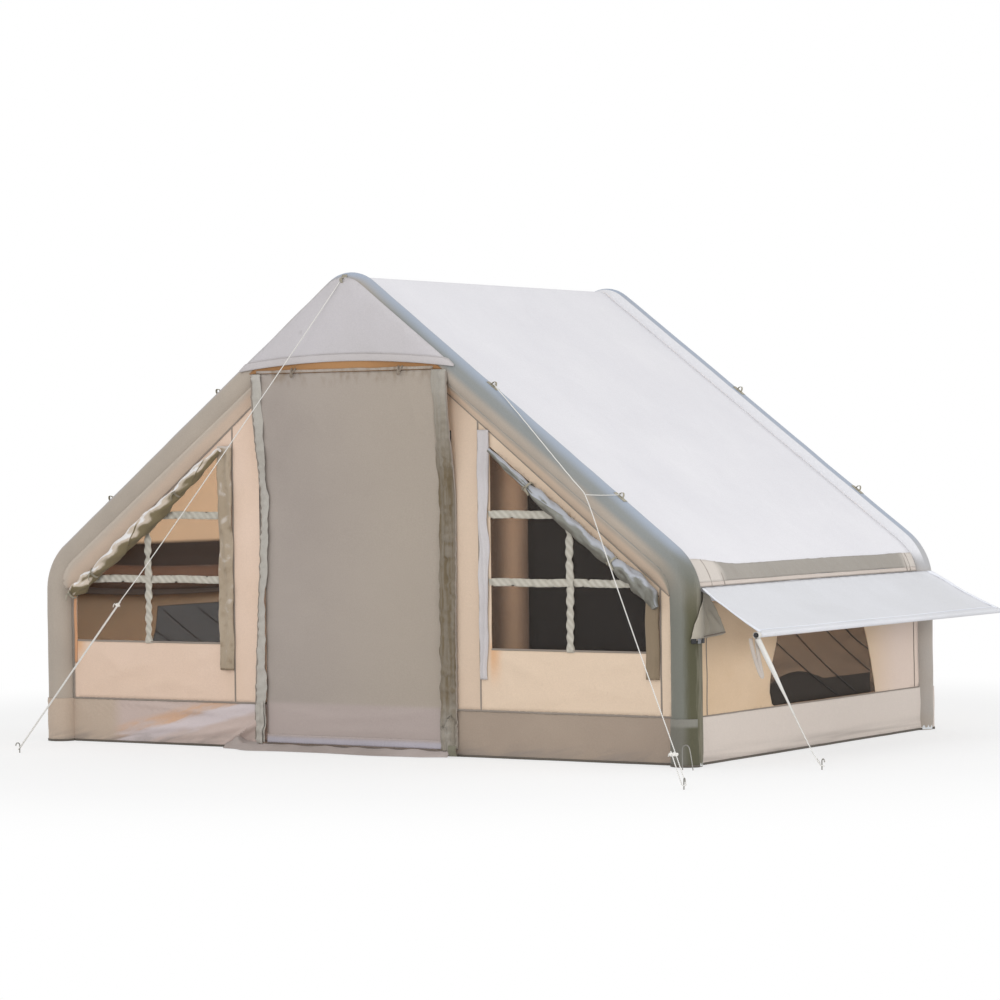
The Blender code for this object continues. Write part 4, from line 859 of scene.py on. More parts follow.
def rolled(name, line, out, swell, turns, folds=0.12):
    """Cloth rolled up along a line, its free edge winding round it; radius by place."""
    points = [Vector(p) for p in line]
    length = (points[-1] - points[0]).length
    rows = []
    for i, p in enumerate(points):
        axis = (points[min(i + 1, len(points) - 1)] - points[max(i - 1, 0)]).normalized()
        side = axis.cross(Vector(out)).normalized()
        front = side.cross(axis)
        s = i / (len(points) - 1)
        for (a, low), (b, high) in zip(swell, swell[1:]):
            if a <= s <= b:
                radius = low + (high - low) * smooth((s - a) / (b - a))
        ring = []
        for wound in spaced(0, 1, 29):
            a = 2 * math.pi * (wound * 0.985 + turns * s)
            crumple = folds * (1 + 1.6 * min(1, max(0, (s - 0.80) / 0.05)))
            bulge = 0.90 + 0.17 * wound
            bulge += crumple * wobble(math.cos(a) * 1.6, math.sin(a) * 1.6, s * length / 0.075)
            bulge += 0.5 * crumple * math.sin(3 * a + s * length * 55)
            ring.append(p + (side * math.cos(a) + front * math.sin(a)) * radius * bulge)
        rows.append(ring)
    return skin(name, rows, around=True)


def tie(name, middle, axis, out, radius, tails=0.03):
    """A tape tied round a roll, with two short tails in front."""
    middle, axis = Vector(middle), Vector(axis).normalized()
    side = axis.cross(Vector(out)).normalized()
    front = side.cross(axis)
    turns = spaced(0, 2 * math.pi, 26)
    ring = [middle + (side * math.cos(a) + front * math.sin(a)) * radius for a in turns]
    dress(cloth(f"{name}_band", ribbon(ring, axis, 0.009), 0.0016), webbing, "webbing")
    knot = middle + front * (radius + 0.001)
    for i, lean in enumerate((-1, 1)):
        spots = []
        for t in spaced(0, 1, 8):
            drop = axis * lean * tails * 0.6 * t + front * 0.010 * hump(t)
            spots.append(knot + drop + Vector((0, 0, -tails * 0.7 * t * t)))
        dress(cloth(f"{name}_tail_{i}", ribbon(spots, side, 0.008), 0.0014), webbing, "webbing")


def hung_strip(name, edges, low, high, layer, finish, folds, narrowed=0.0):
    """A strip of cloth hung down a window's side, with soft upright folds."""
    rows = []
    for z in spaced(low, high, round((high - low) / 0.012)):
        share = (z - low) / (high - low)
        row = []
        for u in spaced(0, 1, 12):
            x = edges[0] + (edges[1] - edges[0]) * u * (1 - narrowed * (1 - share))
            x += 0.003 * wobble(edges[0], z * 9, 0) + 0.002 * math.sin(z * 31)
            x += 0.018 * narrowed * u * wobble(edges[1], z * 9, 3)
            lift = folds * math.sin(2 * math.pi * (1.3 * u + 0.30 * math.sin(z * 7) + z * 0.8))
            lift += rumple((x, 0, z), 0.035, folds * 0.9, 3) + 0.004 * hump(u)
            row.append((x, -layer - max(-0.001, lift + 0.002 * share), z))
        rows.append(row)
    strip = dress(cloth(name, rows, 0.002), finish, "curtain")


def lit_from_above(pale, dark, patchy=0.9):
    """A tint: pale on the roll's top, dark beneath, with uneven patches between."""

    def tint(ink, place, shade):
        patch = ink.noise(place, 17.0, Detail=3.0, Distortion=0.8)
        up = ink.calc("MULTIPLY_ADD", patch, patchy, ink.facing()["Z"])
        return ink.tint(ink.tint(dark, shade, (up, 0.05, 0.50)), pale, (up, 0.62, 0.92))

    return tint


def twist_shade(ink, place, shade):
    """Painted light and shade in slanting bands along the bar, for the turns of webbing wound on itself."""
    return ink.tint("B3AEA2", shade, ink.waves(place, 19.0, "DIAGONAL", Distortion=1.6, Detail=1.0))


bar_webbing = woven("bar_webbing", "CAC6BC", "BFBAAE", 0.85, period=0.0036, crease=0.002, fade=twist_shade)
mesh_cloth = see_through("mesh_cloth", "1E1B19", 0.46)
mesh_layer, bar_layer, bar_width, curtain_layer, bar_rows = 1.0252, 1.0312, 0.033, 1.0666, (0.715, 0.990)
# Curtains: side, cloth's colours, colours on top and below, where tied, upright bar's place
curtain_kinds = {
    "left": (-1, ("D6C8B9", "C3B5A4"), ("EBE9E8", "7A6E53"), (1.488, 1.360, 0.901), 1.09),
    "right": (1, ("87877F", "7B7A74"), ("B0B3BA", "66635A"), (0.885, 1.277), 1.055),
}
for way, (flank, colours, lights, tied, upright) in curtain_kinds.items():
    tint = lit_from_above(*lights)
    curtain_cloth = woven(f"{way}_curtain_cloth", *colours, 0.78, crease=0.010, fade=tint)

    def mesh_place(u, v):
        return Vector((u, -mesh_layer + rumple((u, 0, v), 0.20, 0.003), v))

    mesh = cut(f"front_{way}_mesh_cloth", window_outline(flank, 0.010), [], mesh_place, 0.04, 0.001)
    dress(mesh, mesh_cloth, "mesh", f"front_{way}_mesh")

    top = rafter(upright, -window_drop)
    bars = {"upright_bar": ((flank * upright, 0, 0.437), (flank * upright, 0, top))}
    for i, z in enumerate(bar_rows):
        reach = min(window_far[flank], (rafter(0, -window_drop) - z) / math.tan(slope)) + 0.006
        bars[f"level_bar_{i}"] = ((flank * 0.668, 0, z), (flank * reach, 0, z))
    for i, (name, (start, end)) in enumerate(bars.items()):
        bar = twisted_bar(f"front_{way}_{name}", start, end, bar_width, bar_layer + 0.003 * (i == 0))
        dress(bar, bar_webbing, "webbing", *([f"front_{way}_grille"] if i == 0 else []))

    first, last = (0.672, 1.494) if flank < 0 else (0.695, 1.468)
    line = []
    for x in spaced(first, last, 130):
        hang = 0.010 * hump((x - first) / (last - first))
        droop = 0.045 * max(0, (x - 1.40) / 0.07) ** 1.5 if flank > 0 else 0
        line.append((flank * x, -curtain_layer, rafter(x, -window_drop) - hang - droop))
    marks = sorted((x - first) / (last - first) for x in tied)
    if flank < 0:
        swell = [(0, 0.012), (marks[0] * 0.6, 0.026), (marks[0], 0.024), (0.42, 0.036), (0.68, 0.033)]
        swell += [(marks[1], 0.024), (0.93, 0.030), (0.985, 0.020), (1, 0.010)]
    else:
        swell = [(0, 0.009), (marks[0] * 0.5, 0.014), (marks[0], 0.015), (marks[0] + 0.06, 0.027)]
        swell += [(0.5, 0.028), (marks[1] - 0.03, 0.027), (marks[1], 0.019), (marks[1] + 0.05, 0.029)]
        swell += [(0.95, 0.033), (1, 0.012)]
    turns, folds = (2.3, 0.18) if flank < 0 else (0.8, 0.17)
    roll = rolled(f"front_{way}_curtain_roll", line, (0, -1, 0), swell, turns, folds)
    dress(roll, curtain_cloth, "curtain", f"front_{way}_curtain")
    axis = Vector(line[-1]) - Vector(line[0])
    for i, x in enumerate(tied):
        at = min(range(len(line)), key=lambda k: abs(abs(line[k][0]) - x))
        radius = 0.0235 if x < 1.45 else 0.024
        tie(f"front_{way}_curtain_tie_{i}", line[at], axis, (0, -1, 0), radius)

strip_tint = lit_from_above("CFC6BE", "8D7C66", 1.02)
strip_brown = woven("strip_brown", "B4A592", "A0907B", 0.8, crease=0.012, fade=strip_tint)
strip_olive = woven("strip_olive", "9C8B75", "897964", 0.8, crease=0.006)
strip_grey = woven("strip_grey", "CFCBCC", "C0BBBC", 0.8, crease=0.008)
strip_peach = woven("strip_peach", "D3A07B", "C5946F", 0.8)
hung_strip("left_inner_strip", (-0.700, -0.628), 0.330, 1.285, 1.0385, strip_brown, 0.0055)
hung_strip("left_outer_strip", (-1.508, -1.495), 0.345, 0.640, 1.0315, strip_peach, 0.001)
hung_strip("right_inner_strip", (0.622, 0.676), 0.320, 1.335, 1.0350, strip_grey, 0.0035, 0.35)
hung_strip("right_outer_strip", (1.408, 1.468), 0.337, 0.665, 1.0380, strip_olive, 0.0020)


# Doorway: a grey-brown cloth door hung from a glowing beige lintel, its sides covered by
# puckered storm flaps over the zips, with a paler lower band and a stitched hem, and a
# loose sill of skirt cloth on the ground before it.

door_low, door_top, bend_low, bend_high = 0.030, 1.585, 1.020, 1.500
door_foot_layer, door_head_layer = 1.0455, 1.0918


def door_layer(z):
    """How far the hanging door's middle lies in front of the arch's centre line."""
    share = smooth((z - bend_low) / (bend_high - bend_low))
    return door_foot_layer + (door_head_layer - door_foot_layer) * share


def door_tint(ink, place, shade):
    """Sandier on the right, pinker low down, with painted shade in brown between the gathers along its top.
    """
    across, _, height = ink.axes(place)
    shade = ink.tint(shade, "A99E92", (across, -0.45, 0.45))
    shade = ink.tint(shade, "B1A49F", (height, 0.215, 0.185))
    # Painted shade between the gathers along the door's top.
    gathers = ink.noise(ink.stretch(place, 26.0, 1.0, 13.0), 1.0)
    return ink.tint(shade, "8A7A69", (gathers, 0.40, 0.75), (height, 1.51, 1.60))


def hem_tint(ink, place, shade):
    """The door's lower colour at the upper edge of its hem."""
    return ink.tint(shade, "B1A49F", (ink.axes(place)["Z"], 0.045, 0.066))


def lintel_tint(ink, place, shade):
    """Brighter in the middle, where the light comes through."""
    return ink.tint(shade, "AF8358", (ink.calc("ABSOLUTE", ink.axes(place)["X"]), 0.34, 0.05))


def flap_tint(ink, place, shade):
    """Brown and streaked on the right flap, light grey on the left one."""
    across, _, height = ink.axes(place)
    streak = ink.noise(ink.stretch(place, 70.0, 70.0, 3.0), 1.0, Detail=3.0)
    brown = ink.tint("6D604B", "81786B", ink.scale(streak, 0.40, 0.62))
    right, above = ink.scale(across, 0.0, 0.1), ink.scale(height, 0.12, 0.24, 0.6)
    return ink.tint(shade, brown, right, ink.scale(height, 1.15, 1.50, 1.0, 0.35), above)


# The lintel's dark orange is painted glow from light through the cloth, dimmed by painted shade under the
# hood.
lintel_cloth = woven("lintel_cloth", "A27850", "976D46", 0.85, fade=lintel_tint)
rows = []
for z in spaced(door_top + 0.0006, 1.660, 8):
    half = 0.490 - 0.095 * (z - door_top) / 0.075
    rows.append([(x, -door_head_layer + rumple((x, 0, z), 0.06, 0.001), z) for x in spaced(-half, half, 60)])
lintel = dress(cloth("front_lintel_cloth", rows, 0.0026), lintel_cloth, "wall", "front_lintel")

door_creases = [
    ((-0.25, 1.58), (-0.10, 1.30), 0.020, 0.004), ((-0.26, 1.58), (-0.36, 1.35), 0.020, 0.003),
    ((0.29, 1.58), (0.18, 1.34), 0.020, 0.003), ((0.30, 1.58), (0.38, 1.30), 0.020, 0.004),
    ((-0.44, 1.50), (-0.38, 0.60), 0.030, 0.004), ((0.42, 1.30), (0.40, 0.30), 0.025, 0.005),
    ((-0.40, 0.12), (0.30, 0.165), 0.016, 0.003), ((-0.30, 0.08), (0.42, 0.10), 0.018, 0.003),
    ((-0.44, 0.18), (-0.10, 0.14), 0.012, 0.003), ((0.44, 0.19), (0.10, 0.15), 0.014, 0.003),
]


def door_spot(x, z, proud=0.0):
    """A spot on the hanging door, with the gathers along its top and its soft folds."""
    lift = pulls(x, z, door_creases) + rumple((x, 0, z), 0.28, 0.005, 6)
    lift += bell((door_top - z) / 0.030) * 0.0022 * math.sin(x * 150 + 4 * wobble(x * 9, 0, 0))
    lift += 0.0015 * bell((z - 0.2) / 0.012)
    limit = 0.0035 if z > 1.44 else 0.010
    return Vector((x, -door_layer(z) - max(-0.004, min(limit, lift)) * 0.8 - proud, z))


door_cloth = woven("door_cloth", "AAA098", "A19790", 0.82, crease=0.005, fade=door_tint)
rows = []
for z in spaced(door_low + 0.001, door_top - 0.001, 120):
    rows.append([door_spot(x, z) for x in spaced(-0.4497, 0.4497, 72)])
door = dress(cloth("front_door_cloth", rows), door_cloth, "door", "front_door", body="front_door")

rows = []
for z in spaced(door_low, door_low + 0.036, 6):
    row = []
    for x in spaced(-0.4490, 0.4490, 220):
        pucker = 0.0016 * abs(math.sin(x * 210 + 3 * wobble(x * 7, 0, 0)))
        row.append(door_spot(x, z, 0.0030 + pucker))
    rows.append(row)
hem_cloth = woven("door_hem_cloth", "C0BBC4", "B0ABB3", 0.8, crease=0.006, fade=hem_tint)
dress(cloth("front_door_hem", rows, 0.0018), hem_cloth, "door", body="front_door")

rows = []
for share in spaced(0, 1, 5):
    row = []
    for x in spaced(-0.4480, 0.4480, 200):
        z = 1.5873 + share * (0.0115 + 0.0030 * wobble(x * 9, 1, 0))
        fold = 0.0016 * abs(math.sin(x * 120 + 40 * (z - 1.58) + 4 * wobble(x * 9, 0, 0)))
        row.append((x, -door_head_layer - 0.0030 - fold, z))
    rows.append(row)
dress(cloth("front_door_head", rows, 0.0018), door_cloth, "door")

flap_cloth = woven("flap_cloth", "BEBAB3", "A9A49B", 0.72, crease=0.012, fade=flap_tint)
# Flaps: side, outer edge low down and high up, and width; layers of both edges, foot and head
flap_layers, flap_limit = ((1.0365, 1.0945), (1.0520, 1.0975)), 1.1085
flap_kinds = {"left": (-1, 0.520, 0.474, 0.052), "right": (1, 0.508, 0.513, 0.062)}
for way, (flank, outer_low, outer_high, flap_width) in flap_kinds.items():

    def flap_spot(u, z, proud=0.0):
        head = smooth((z - bend_low) / (bend_high - bend_low))
        near, far = [foot + (top - foot) * head for foot, top in flap_layers]
        wave = wobble(flank, z * 5.5, 0)
        outer = outer_low + (outer_high - outer_low) * smooth(z / 1.1)
        edge = outer - flap_width - 0.016 * max(0, 0.25 - z)
        edge = min(edge, 0.447) + 0.011 * wave * u + 0.003 * math.sin(z * 40) * u
        x = outer + (edge - outer) * u
        curl = 0.016 * u**4 * (0.6 + wave) * (1 - head)
        pucker = 0.0050 * math.sin(z * 170 + 3 * wobble(0, z * 12, flank)) * (1 - u) ** 0.5
        fold = 0.0045 * math.sin(7 * u + 2 * math.sin(z * 4)) * (flank > 0)
        fold += rumple((x, 0, z), 0.030, 0.008, 5)
        bulge = 0.010 * hump(u) * (1 - head * 0.7)
        out = near + (far - near) * u + max(-0.002, bulge + pucker * 0.5 + fold + curl)
        return Vector((flank * x, -min(out, flap_limit) - proud, z))

    rows = []
    for z in spaced(door_low + 0.001, door_top - 0.001, 190):
        rows.append([flap_spot(u, z) for u in spaced(0, 1, 14)])
    flap = cloth(f"door_{way}_flap_cloth", rows, 0.0024)
    dress(flap, flap_cloth, "door", f"door_{way}_flap", body="front_door")

    rows = []
    for z in spaced(door_low - 0.006, 0.205, 26):
        share = (z - door_low) / 0.175
        row = []
        for u in spaced(0, 1, 12):
            top = 0.185 + 0.020 * u if flank < 0 else 0.14 + 0.03 * math.sin(5 * u)
            proud = 0.006 + 0.005 * math.sin(3 * math.pi * u) ** 2
            spot = flap_spot(0.04 + 0.90 * u, min(z, top), proud)
            spot.x += flank * 0.012 * (1 - share) * (u - 0.5)
            row.append(spot)
        rows.append(row)
    dress(cloth(f"door_{way}_flap_foot", rows, 0.0020), flap_cloth, "door", body="front_door")
    line = [flap_spot(0.0, z, 0.0025) for z in spaced(door_low + 0.01, door_top - 0.01, 90)]
    out = (0, -1, 0)
    seams(f"door_{way}_flap_seam", [line], out, seam_cord, "door", 0.007, 0.0025, "front_door")



def ball(name, middle, reach, turns=16, rings=10):
    """A ball between two poles, that far from its middle sideways, in depth and up."""
    bm = bmesh.new()
    chart = bm.loops.layers.uv.new("UVMap")
    rows = []
    for down in spaced(0, math.pi, rings)[1:-1]:
        row = []
        for a in spaced(0, 2 * math.pi, turns)[:-1]:
            out = (math.cos(a) * math.sin(down), math.sin(a) * math.sin(down), math.cos(down))
            row.append(bm.verts.new(middle + Vector(map(math.prod, zip(reach, out)))))
        rows.append(row)
    top, foot = [bm.verts.new(middle + Vector((0, 0, side * reach.z))) for side in (1, -1)]
    rows = [[top] * turns, *rows, [foot] * turns]
    for r, (high, low) in enumerate(zip(rows, rows[1:])):
        for i in range(turns):
            spots = {high[i - 1]: (i - 1, r), low[i - 1]: (i - 1, r + 1), low[i]: (i, r + 1), high[i]: (i, r)}
            for loop in bm.faces.new(list(spots)).loops:
                u, v = spots[loop.vert]
                loop[chart].uv = (u / turns, 1 - v / rings)
    return make_piece(name, bm)


toggle_cloth = woven("toggle_cloth", "93877A", "756A5D", 0.8, period=0.002, crease=0.001)
for i, (x, z) in enumerate(((-0.252, 1.606), (0.290, 1.604))):
    spots = []
    for t in spaced(0, 1, 16):
        swing = hump(t)
        spots.append((x - 0.010 + 0.020 * t + 0.004 * swing, -1.0975 - 0.018 * swing, z - 0.022 * swing))
    loop = cloth(f"door_toggle_loop_{i}", ribbon(spots, (0.5, 0.8, 0), 0.007), 0.002)
    dress(loop, toggle_cloth, "webbing")
    bead = ball(f"door_toggle_{i}", Vector((x, -1.1155, z - 0.029)), Vector((0.00825, 0.00675, 0.0120)))
    dress(bead, toggle_cloth, "webbing")


def sill_tint(ink, place, shade):
    """Painted shadow, dark where the sill tucks in beneath the door."""
    across, depth, _ = ink.axes(place)
    return ink.tint(shade, "463F3A", (depth, -1.066, -1.052), (across, -0.47, -0.45))


sill_cloth = woven("sill_cloth", "B8ADA9", "9A8F89", 0.82, crease=0.012, fade=sill_tint)
sill_inner, sill_outer, sill_left, sill_length = -1.0275, -1.132, -0.655, 1.143
rows = []
for v in spaced(0, 1, 22):
    row = []
    for u in spaced(0, 1, 110):
        x = sill_left + sill_length * u
        front = sill_outer + 0.022 * wobble(x * 5, 2, 0) - 0.010 * math.sin(x * 9)
        front += 0.045 * smooth((abs(x + 0.065) - 0.42) / 0.13)
        y = sill_inner + (front - sill_inner) * v
        wave = 1 + 0.7 * wobble(x * 11, y * 16, 4)
        high = 0.0285 * (1 - v) ** 1.4 + 0.010 * hump(v) * wave * smooth((v - 0.25) / 0.25)
        high += 0.030 * bell((x + 0.605) / 0.022) * hump(min(1, v + 0.2))
        row.append((x, y, 0.002 + max(0, high)))
    rows.append(row)
sill = dress(cloth("door_sill_cloth", rows, 0.0022), sill_cloth, "skirt", "door_sill")
tab_cloth = woven("tab_cloth", "7F7C6C", "6B6959", 0.8, period=0.0032, crease=0.002)
rows = []
for t in spaced(0, 1, 12):
    y, z = -1.0780 - 0.010 * math.sin(2.4 * t), 0.006 + 0.044 * t
    rows.append([(x, y - 0.003 * math.sin(90 * x), z) for x in spaced(0.494, 0.530, 8)])
dress(cloth("door_flap_tab", rows, 0.0024), tab_cloth, "door", body="front_door")


# Side walls: beige cloth from the eave seam to the skirt, each with a mesh window crossed
# by four thin dark lines, behind which the window's cover sags in a heap.

side_layer, side_window_top = 1.6086, 0.560
side_window = [(0.430, side_window_top), (0.454, 0.479), (0.515, 0.330), (0.553, 0.1930)]
side_window += [(-0.360, 0.1930), (-0.380, 0.203), (-0.400, 0.251), (-0.393, 0.300), (-0.372, 0.375)]
side_window += [(-0.335, 0.455), (-0.318, side_window_top)]
side_creases = [
    ((-0.90, 0.24), (-0.50, 0.46), 0.022, 0.007), ((-0.86, 0.21), (-0.42, 0.30), 0.020, 0.003),
    ((-0.45, 0.26), (-0.62, 0.40), 0.020, 0.003), ((0.95, 0.55), (0.55, 0.40), 0.030, 0.003),
    ((0.60, 0.22), (0.95, 0.30), 0.020, 0.003),
]
# Four dark slanting lines across each side window, drawn as thin raised cords.
dark_lines = [
    ((-0.335, 0.45), (0.20, 0.205)), ((-0.27, 0.54), (0.36, 0.212)),
    ((-0.02, 0.545), (0.50, 0.29)), ((0.17, 0.550), (0.485, 0.385)),
]


def side_fade(ink, place, shade):
    """Pinker and paler towards the rear."""
    return ink.tint(shade, "DFCCBF", (ink.axes(place)["Y"], 0.40, 0.80))


side_cloth = woven("side_cloth", "E0C6A8", "D3B797", 0.85, crease=0.007, sheen=0.15, fade=side_fade)
side_mesh_cloth = see_through("side_mesh_cloth", "3E362F", 0.60)
cover_cloth = woven("cover_cloth", "16130F", "100E0C", 0.8)
dark_line = woven("dark_line", "1E1B19", "161412", 0.7, period=0.001, crease=0.001)
for way, flank in (("left", -1), ("right", 1)):

    def side_place(u, v, proud=0.0):
        lift = pulls(u, v, side_creases) + rumple((flank, u, v), 0.11, 0.002)
        return Vector((flank * (side_layer + lift + proud), u, v))

    def side_flat(u, v):
        return Vector((flank * (side_layer - 0.0015 + rumple((flank, u, v), 0.11, 0.002)), u, v))

    def side_behind(u, v):
        return Vector((flank * (side_layer - 0.016 + rumple((flank, u, v), 0.06, 0.008)), u, v))

    edge = roof_edge - 0.0008
    outline = [(-edge, skirt_top + 0.0005), (edge, skirt_top + 0.0005)]
    outline += [(y, 0.6490 - eave_sag(y)) for y in spaced(edge, -edge, 40)]
    wall = cut(f"{way}_wall_cloth", outline, [side_window], side_place, 0.022)
    dress(wall, side_cloth, "wall", f"{way}_wall")
    panel = [(u * 1.008, 0.003 + v) for u, v in side_window]
    mesh = cut(f"{way}_window_mesh_cloth", panel, [], side_flat, 0.03, 0.001)
    dress(mesh, side_mesh_cloth, "mesh", f"{way}_window_mesh")
    for i, (start, end) in enumerate(dark_lines):
        line = []
        for t in spaced(0, 1, 30):
            y = start[0] + (end[0] - start[0]) * t
            z = start[1] + (end[1] - start[1]) * t - 0.03 * t * (1 - t) * (1 + i % 2)
            line.append((flank * (side_layer + 0.0012), y, z))
        seams(f"{way}_window_elastic_{i}", [line], (flank, 0, 0), dark_line, "mesh", 0.006, 0.002)
    heap = [(0.545, 0.1935), (-0.36, 0.1935), (-0.385, 0.27)]
    heap += [(y, 0.280 + 0.042 * math.sin(6.5 * (y + 0.38)) * (y < 0.12)) for y in spaced(-0.34, 0.53, 24)]
    cover = cut(f"{way}_window_cover", heap, [], side_behind, 0.04, 0.002)
    dress(cover, cover_cloth, "curtain")
    lines = [[side_place(y, z, 0.002) for z in spaced(0.195, 0.60, 30)] for y in (-0.915, 0.925)]
    lines.append([side_place(y, skirt_top + 0.001, 0.002) for y in spaced(-edge, edge, 90)])
    seams(f"{way}_wall_seams", lines, (flank, 0, 0), seam_cord, "wall", 0.006, 0.0025)


# Skirts and floor: a weatherproof band round the foot of the walls that wraps the legs,
# with a bound hem on the ground, and a dark groundsheet inside it.

wrap_radius = tube_radius + 0.0018


def skirt_plan(flank):
    """Plan of a skirt, from the front doorway round both legs to the rear one."""
    points = [(x, -half_depth) for x in spaced(jamb + 0.002, half_span - wrap_radius, 120)]
    for a in spaced(math.pi, 2 * math.pi - math.radians(22.5), 16)[1:]:
        points.append((half_span + wrap_radius * math.cos(a), -half_depth + wrap_radius * math.sin(a)))
    flat_x = half_span + cloth_rise + 0.0015
    edge = -half_depth + math.sqrt(wrap_radius**2 - (flat_x - half_span) ** 2)
    points = [p for p in points if p[1] < edge or p[0] < half_span]
    for y in spaced(edge + 0.004, 0, 44):
        points.append((flat_x, y))
    points += [(x, -y) for x, y in reversed(points[:-1])]
    return [(flank * x, y) for x, y in points]


def skirt_tint(ink, place, shade):
    """Dusty below; pink left of the door, streaked with slanting peach and pale bands of painted light on its
    folds; paler on the right side as painted light; olive round the right front leg, darker as painted shade
    where it faces right.
    """
    across, depth, height = ink.axes(place)
    slanted = ink.add("Mapping", {"Vector": place, "Rotation": (0, 0.24, 0)})
    streak = ink.noise(ink.stretch(slanted, 5.0, 1.0, 30.0), 1.0, Detail=3.0, Distortion=0.5)
    rise = ink.calc("MULTIPLY_ADD", across, -0.242, height)
    rise = ink.calc("MULTIPLY_ADD", streak, 0.07, rise)
    shade = ink.tint(shade, "BDAB9A", (across, 0.2, -0.2))
    pink = ink.both((across, -1.320, -1.235), (across, -0.30, -0.42), (depth, 0.1, -0.1))
    shade = ink.tint(shade, "C3B1A9", pink)
    # Painted light on the folds: slanting peach and pale bands left of the door.
    shade = ink.tint(shade, "CDA98F", pink, (rise, 0.362, 0.376), (rise, 0.435, 0.405), (streak, 0.35, 0.62))
    shade = ink.tint(shade, "CEC3C4", pink, (rise, 0.300, 0.330), (rise, 0.380, 0.358))
    # Painted light: paler on the right side.
    shade = ink.tint(shade, "D8CDC4", (across, 1.590, 1.606))
    shade = ink.tint(shade, "8F857E", (height, 0.080, 0.010), (streak, 0.30, 0.85))
    # Olive round the right front leg, with painted shade where it faces right.
    band = ink.tint("716F66", "575543", (ink.facing()["X"], 0.15, 0.72))
    band = ink.tint(band, "84827A", (height, 0.150, 0.166))
    return ink.tint(shade, band, (across, 1.512, 1.524), (depth, -0.960, -0.966))


skirt_creases = [
    ((-1.30, 0.185), (-0.62, 0.135), 0.012, 0.010), ((-1.10, 0.130), (-0.48, 0.180), 0.014, 0.009),
    ((-0.70, 0.010), (-0.44, 0.135), 0.010, 0.016), ((-0.62, 0.045), (-0.44, 0.170), 0.009, 0.014),
    ((-0.57, 0.000), (-0.45, 0.070), 0.009, 0.014), ((-1.25, 0.060), (-0.75, 0.090), 0.018, 0.010),
    ((-0.90, 0.030), (-0.50, 0.110), 0.012, 0.010), ((-1.05, 0.020), (-0.78, 0.060), 0.012, 0.008),
]
skirt_cloth = woven("skirt_cloth", "A89889", "9E8E80", 0.78, crease=0.010, fade=skirt_tint)
hem_binding = woven("hem_binding", "6A635A", "5A544C", 0.8, crease=0.003)
for way, flank in (("left", -1), ("right", 1)):
    plan = skirt_plan(flank)
    run = [0.0]
    for a, b in zip(plan, plan[1:]):
        run.append(run[-1] + math.dist(a, b))
    rows = []
    for z in spaced(0.001, skirt_top - 0.001, 26):
        row = []
        for i, (x, y) in enumerate(plan):
            a, b = plan[max(0, i - 1)], plan[min(len(plan) - 1, i + 1)]
            out = Vector((b[1] - a[1], a[0] - b[0])).normalized() * flank
            share = z / skirt_top
            spot = Vector((x, y, z))
            lift = rumple(spot, 0.11, 0.0040, 2)
            gather = max(0, math.sin(run[i] * 150 - 40 * share + 3 * wobble(*spot * 6)))
            lift += 0.0065 * gather**2 * share**4 * (x < -0.9 and y < 0)
            if y < -half_depth + 0.01 and x < 0:
                lift += pulls(x, z, skirt_creases)
            lift += 0.004 * (1 - share) ** 2 * math.sin(run[i] * 11 + 4 * wobble(x * 3, y * 3, 0))
            lift = max(-0.001, lift) * hump(min(1, share + 0.04)) ** 0.35
            row.append(Vector((x + out.x * lift, y + out.y * lift, z)))
        rows.append(row)
    skirt = dress(cloth(f"{way}_skirt_cloth", rows), skirt_cloth, "skirt", f"{way}_skirt")
    line = []
    for a, b, spot in zip(plan[:1] + plan, plan[1:] + plan[-1:], rows[1]):
        out = Vector((b[1] - a[1], a[0] - b[0], 0)).normalized() * flank
        line.append(Vector((spot.x, spot.y, 0.0055)) + out * 0.0028)
    rows = [[p + Vector((0, 0, h)) for p in line] for h in (-0.0045, 0, 0.0045)]
    dress(cloth(f"{way}_skirt_hem", rows, 0.0022), hem_binding, "skirt")

ground_cloth = woven("ground_cloth", "5E5B55", "514E48", 0.6, crease=0.004)
wide, deep = half_span + 0.022, half_depth - 0.002
leg_x, leg_y = half_span - tube_radius - 0.004, half_depth - tube_radius - 0.001
corner = [(wide, -leg_y), (wide, leg_y), (leg_x, leg_y), (leg_x, deep)]
outline = corner + [(-a, b) for a, b in reversed(corner)]
outline += [(-leg_x, -leg_y), (-leg_x, -deep), (leg_x, -deep), (leg_x, -leg_y)]


def ground_place(u, v):
    return Vector((u, v, 0.0016 + max(0, rumple((u, v, 0), 0.25, 0.003))))


ground = cut("groundsheet_cloth", outline, [], ground_place, 0.06)
dress(ground, ground_cloth, "ground", "groundsheet")

# Eaves and awnings: a taupe band of painted shade and a beige seam along each eave; from
# the right one a white awning slopes out to a pole in its hem, stayed by a strap and a cloth gusset.

header_top, band_low, band_high, eave_end = 0.702, 0.718, 0.778, 0.962


def eave_spot(side, y, z, proud):
    """A spot on the roof cloth's turn over the eave, at that height."""
    bend = knee_bend + cloth_rise + 0.0015
    rise = (z + eave_sag(y) - knee_middle[1]) / bend
    a = math.asin(min(1, max(0, rise)))
    x = knee_middle[0] + (bend + proud) * math.cos(a)
    high = knee_middle[1] - eave_sag(y) + (bend + proud) * math.sin(a) if rise > 0 else z
    return Vector((side * x, y, high))


def band_top(y):
    """Height of the eave band's upper edge, which climbs towards the front."""
    return band_high + 0.030 * smooth((-y - 0.55) / 0.40)


def band_tint(ink, place, shade):
    """Paler and pinker at both ends of the eave's band of painted shade."""
    size = ink.calc("ABSOLUTE", ink.calc("ADD", ink.axes(place)["Y"], -0.06))
    return ink.tint(shade, "CFC7BF", ink.scale(size, 0.78, 0.84))


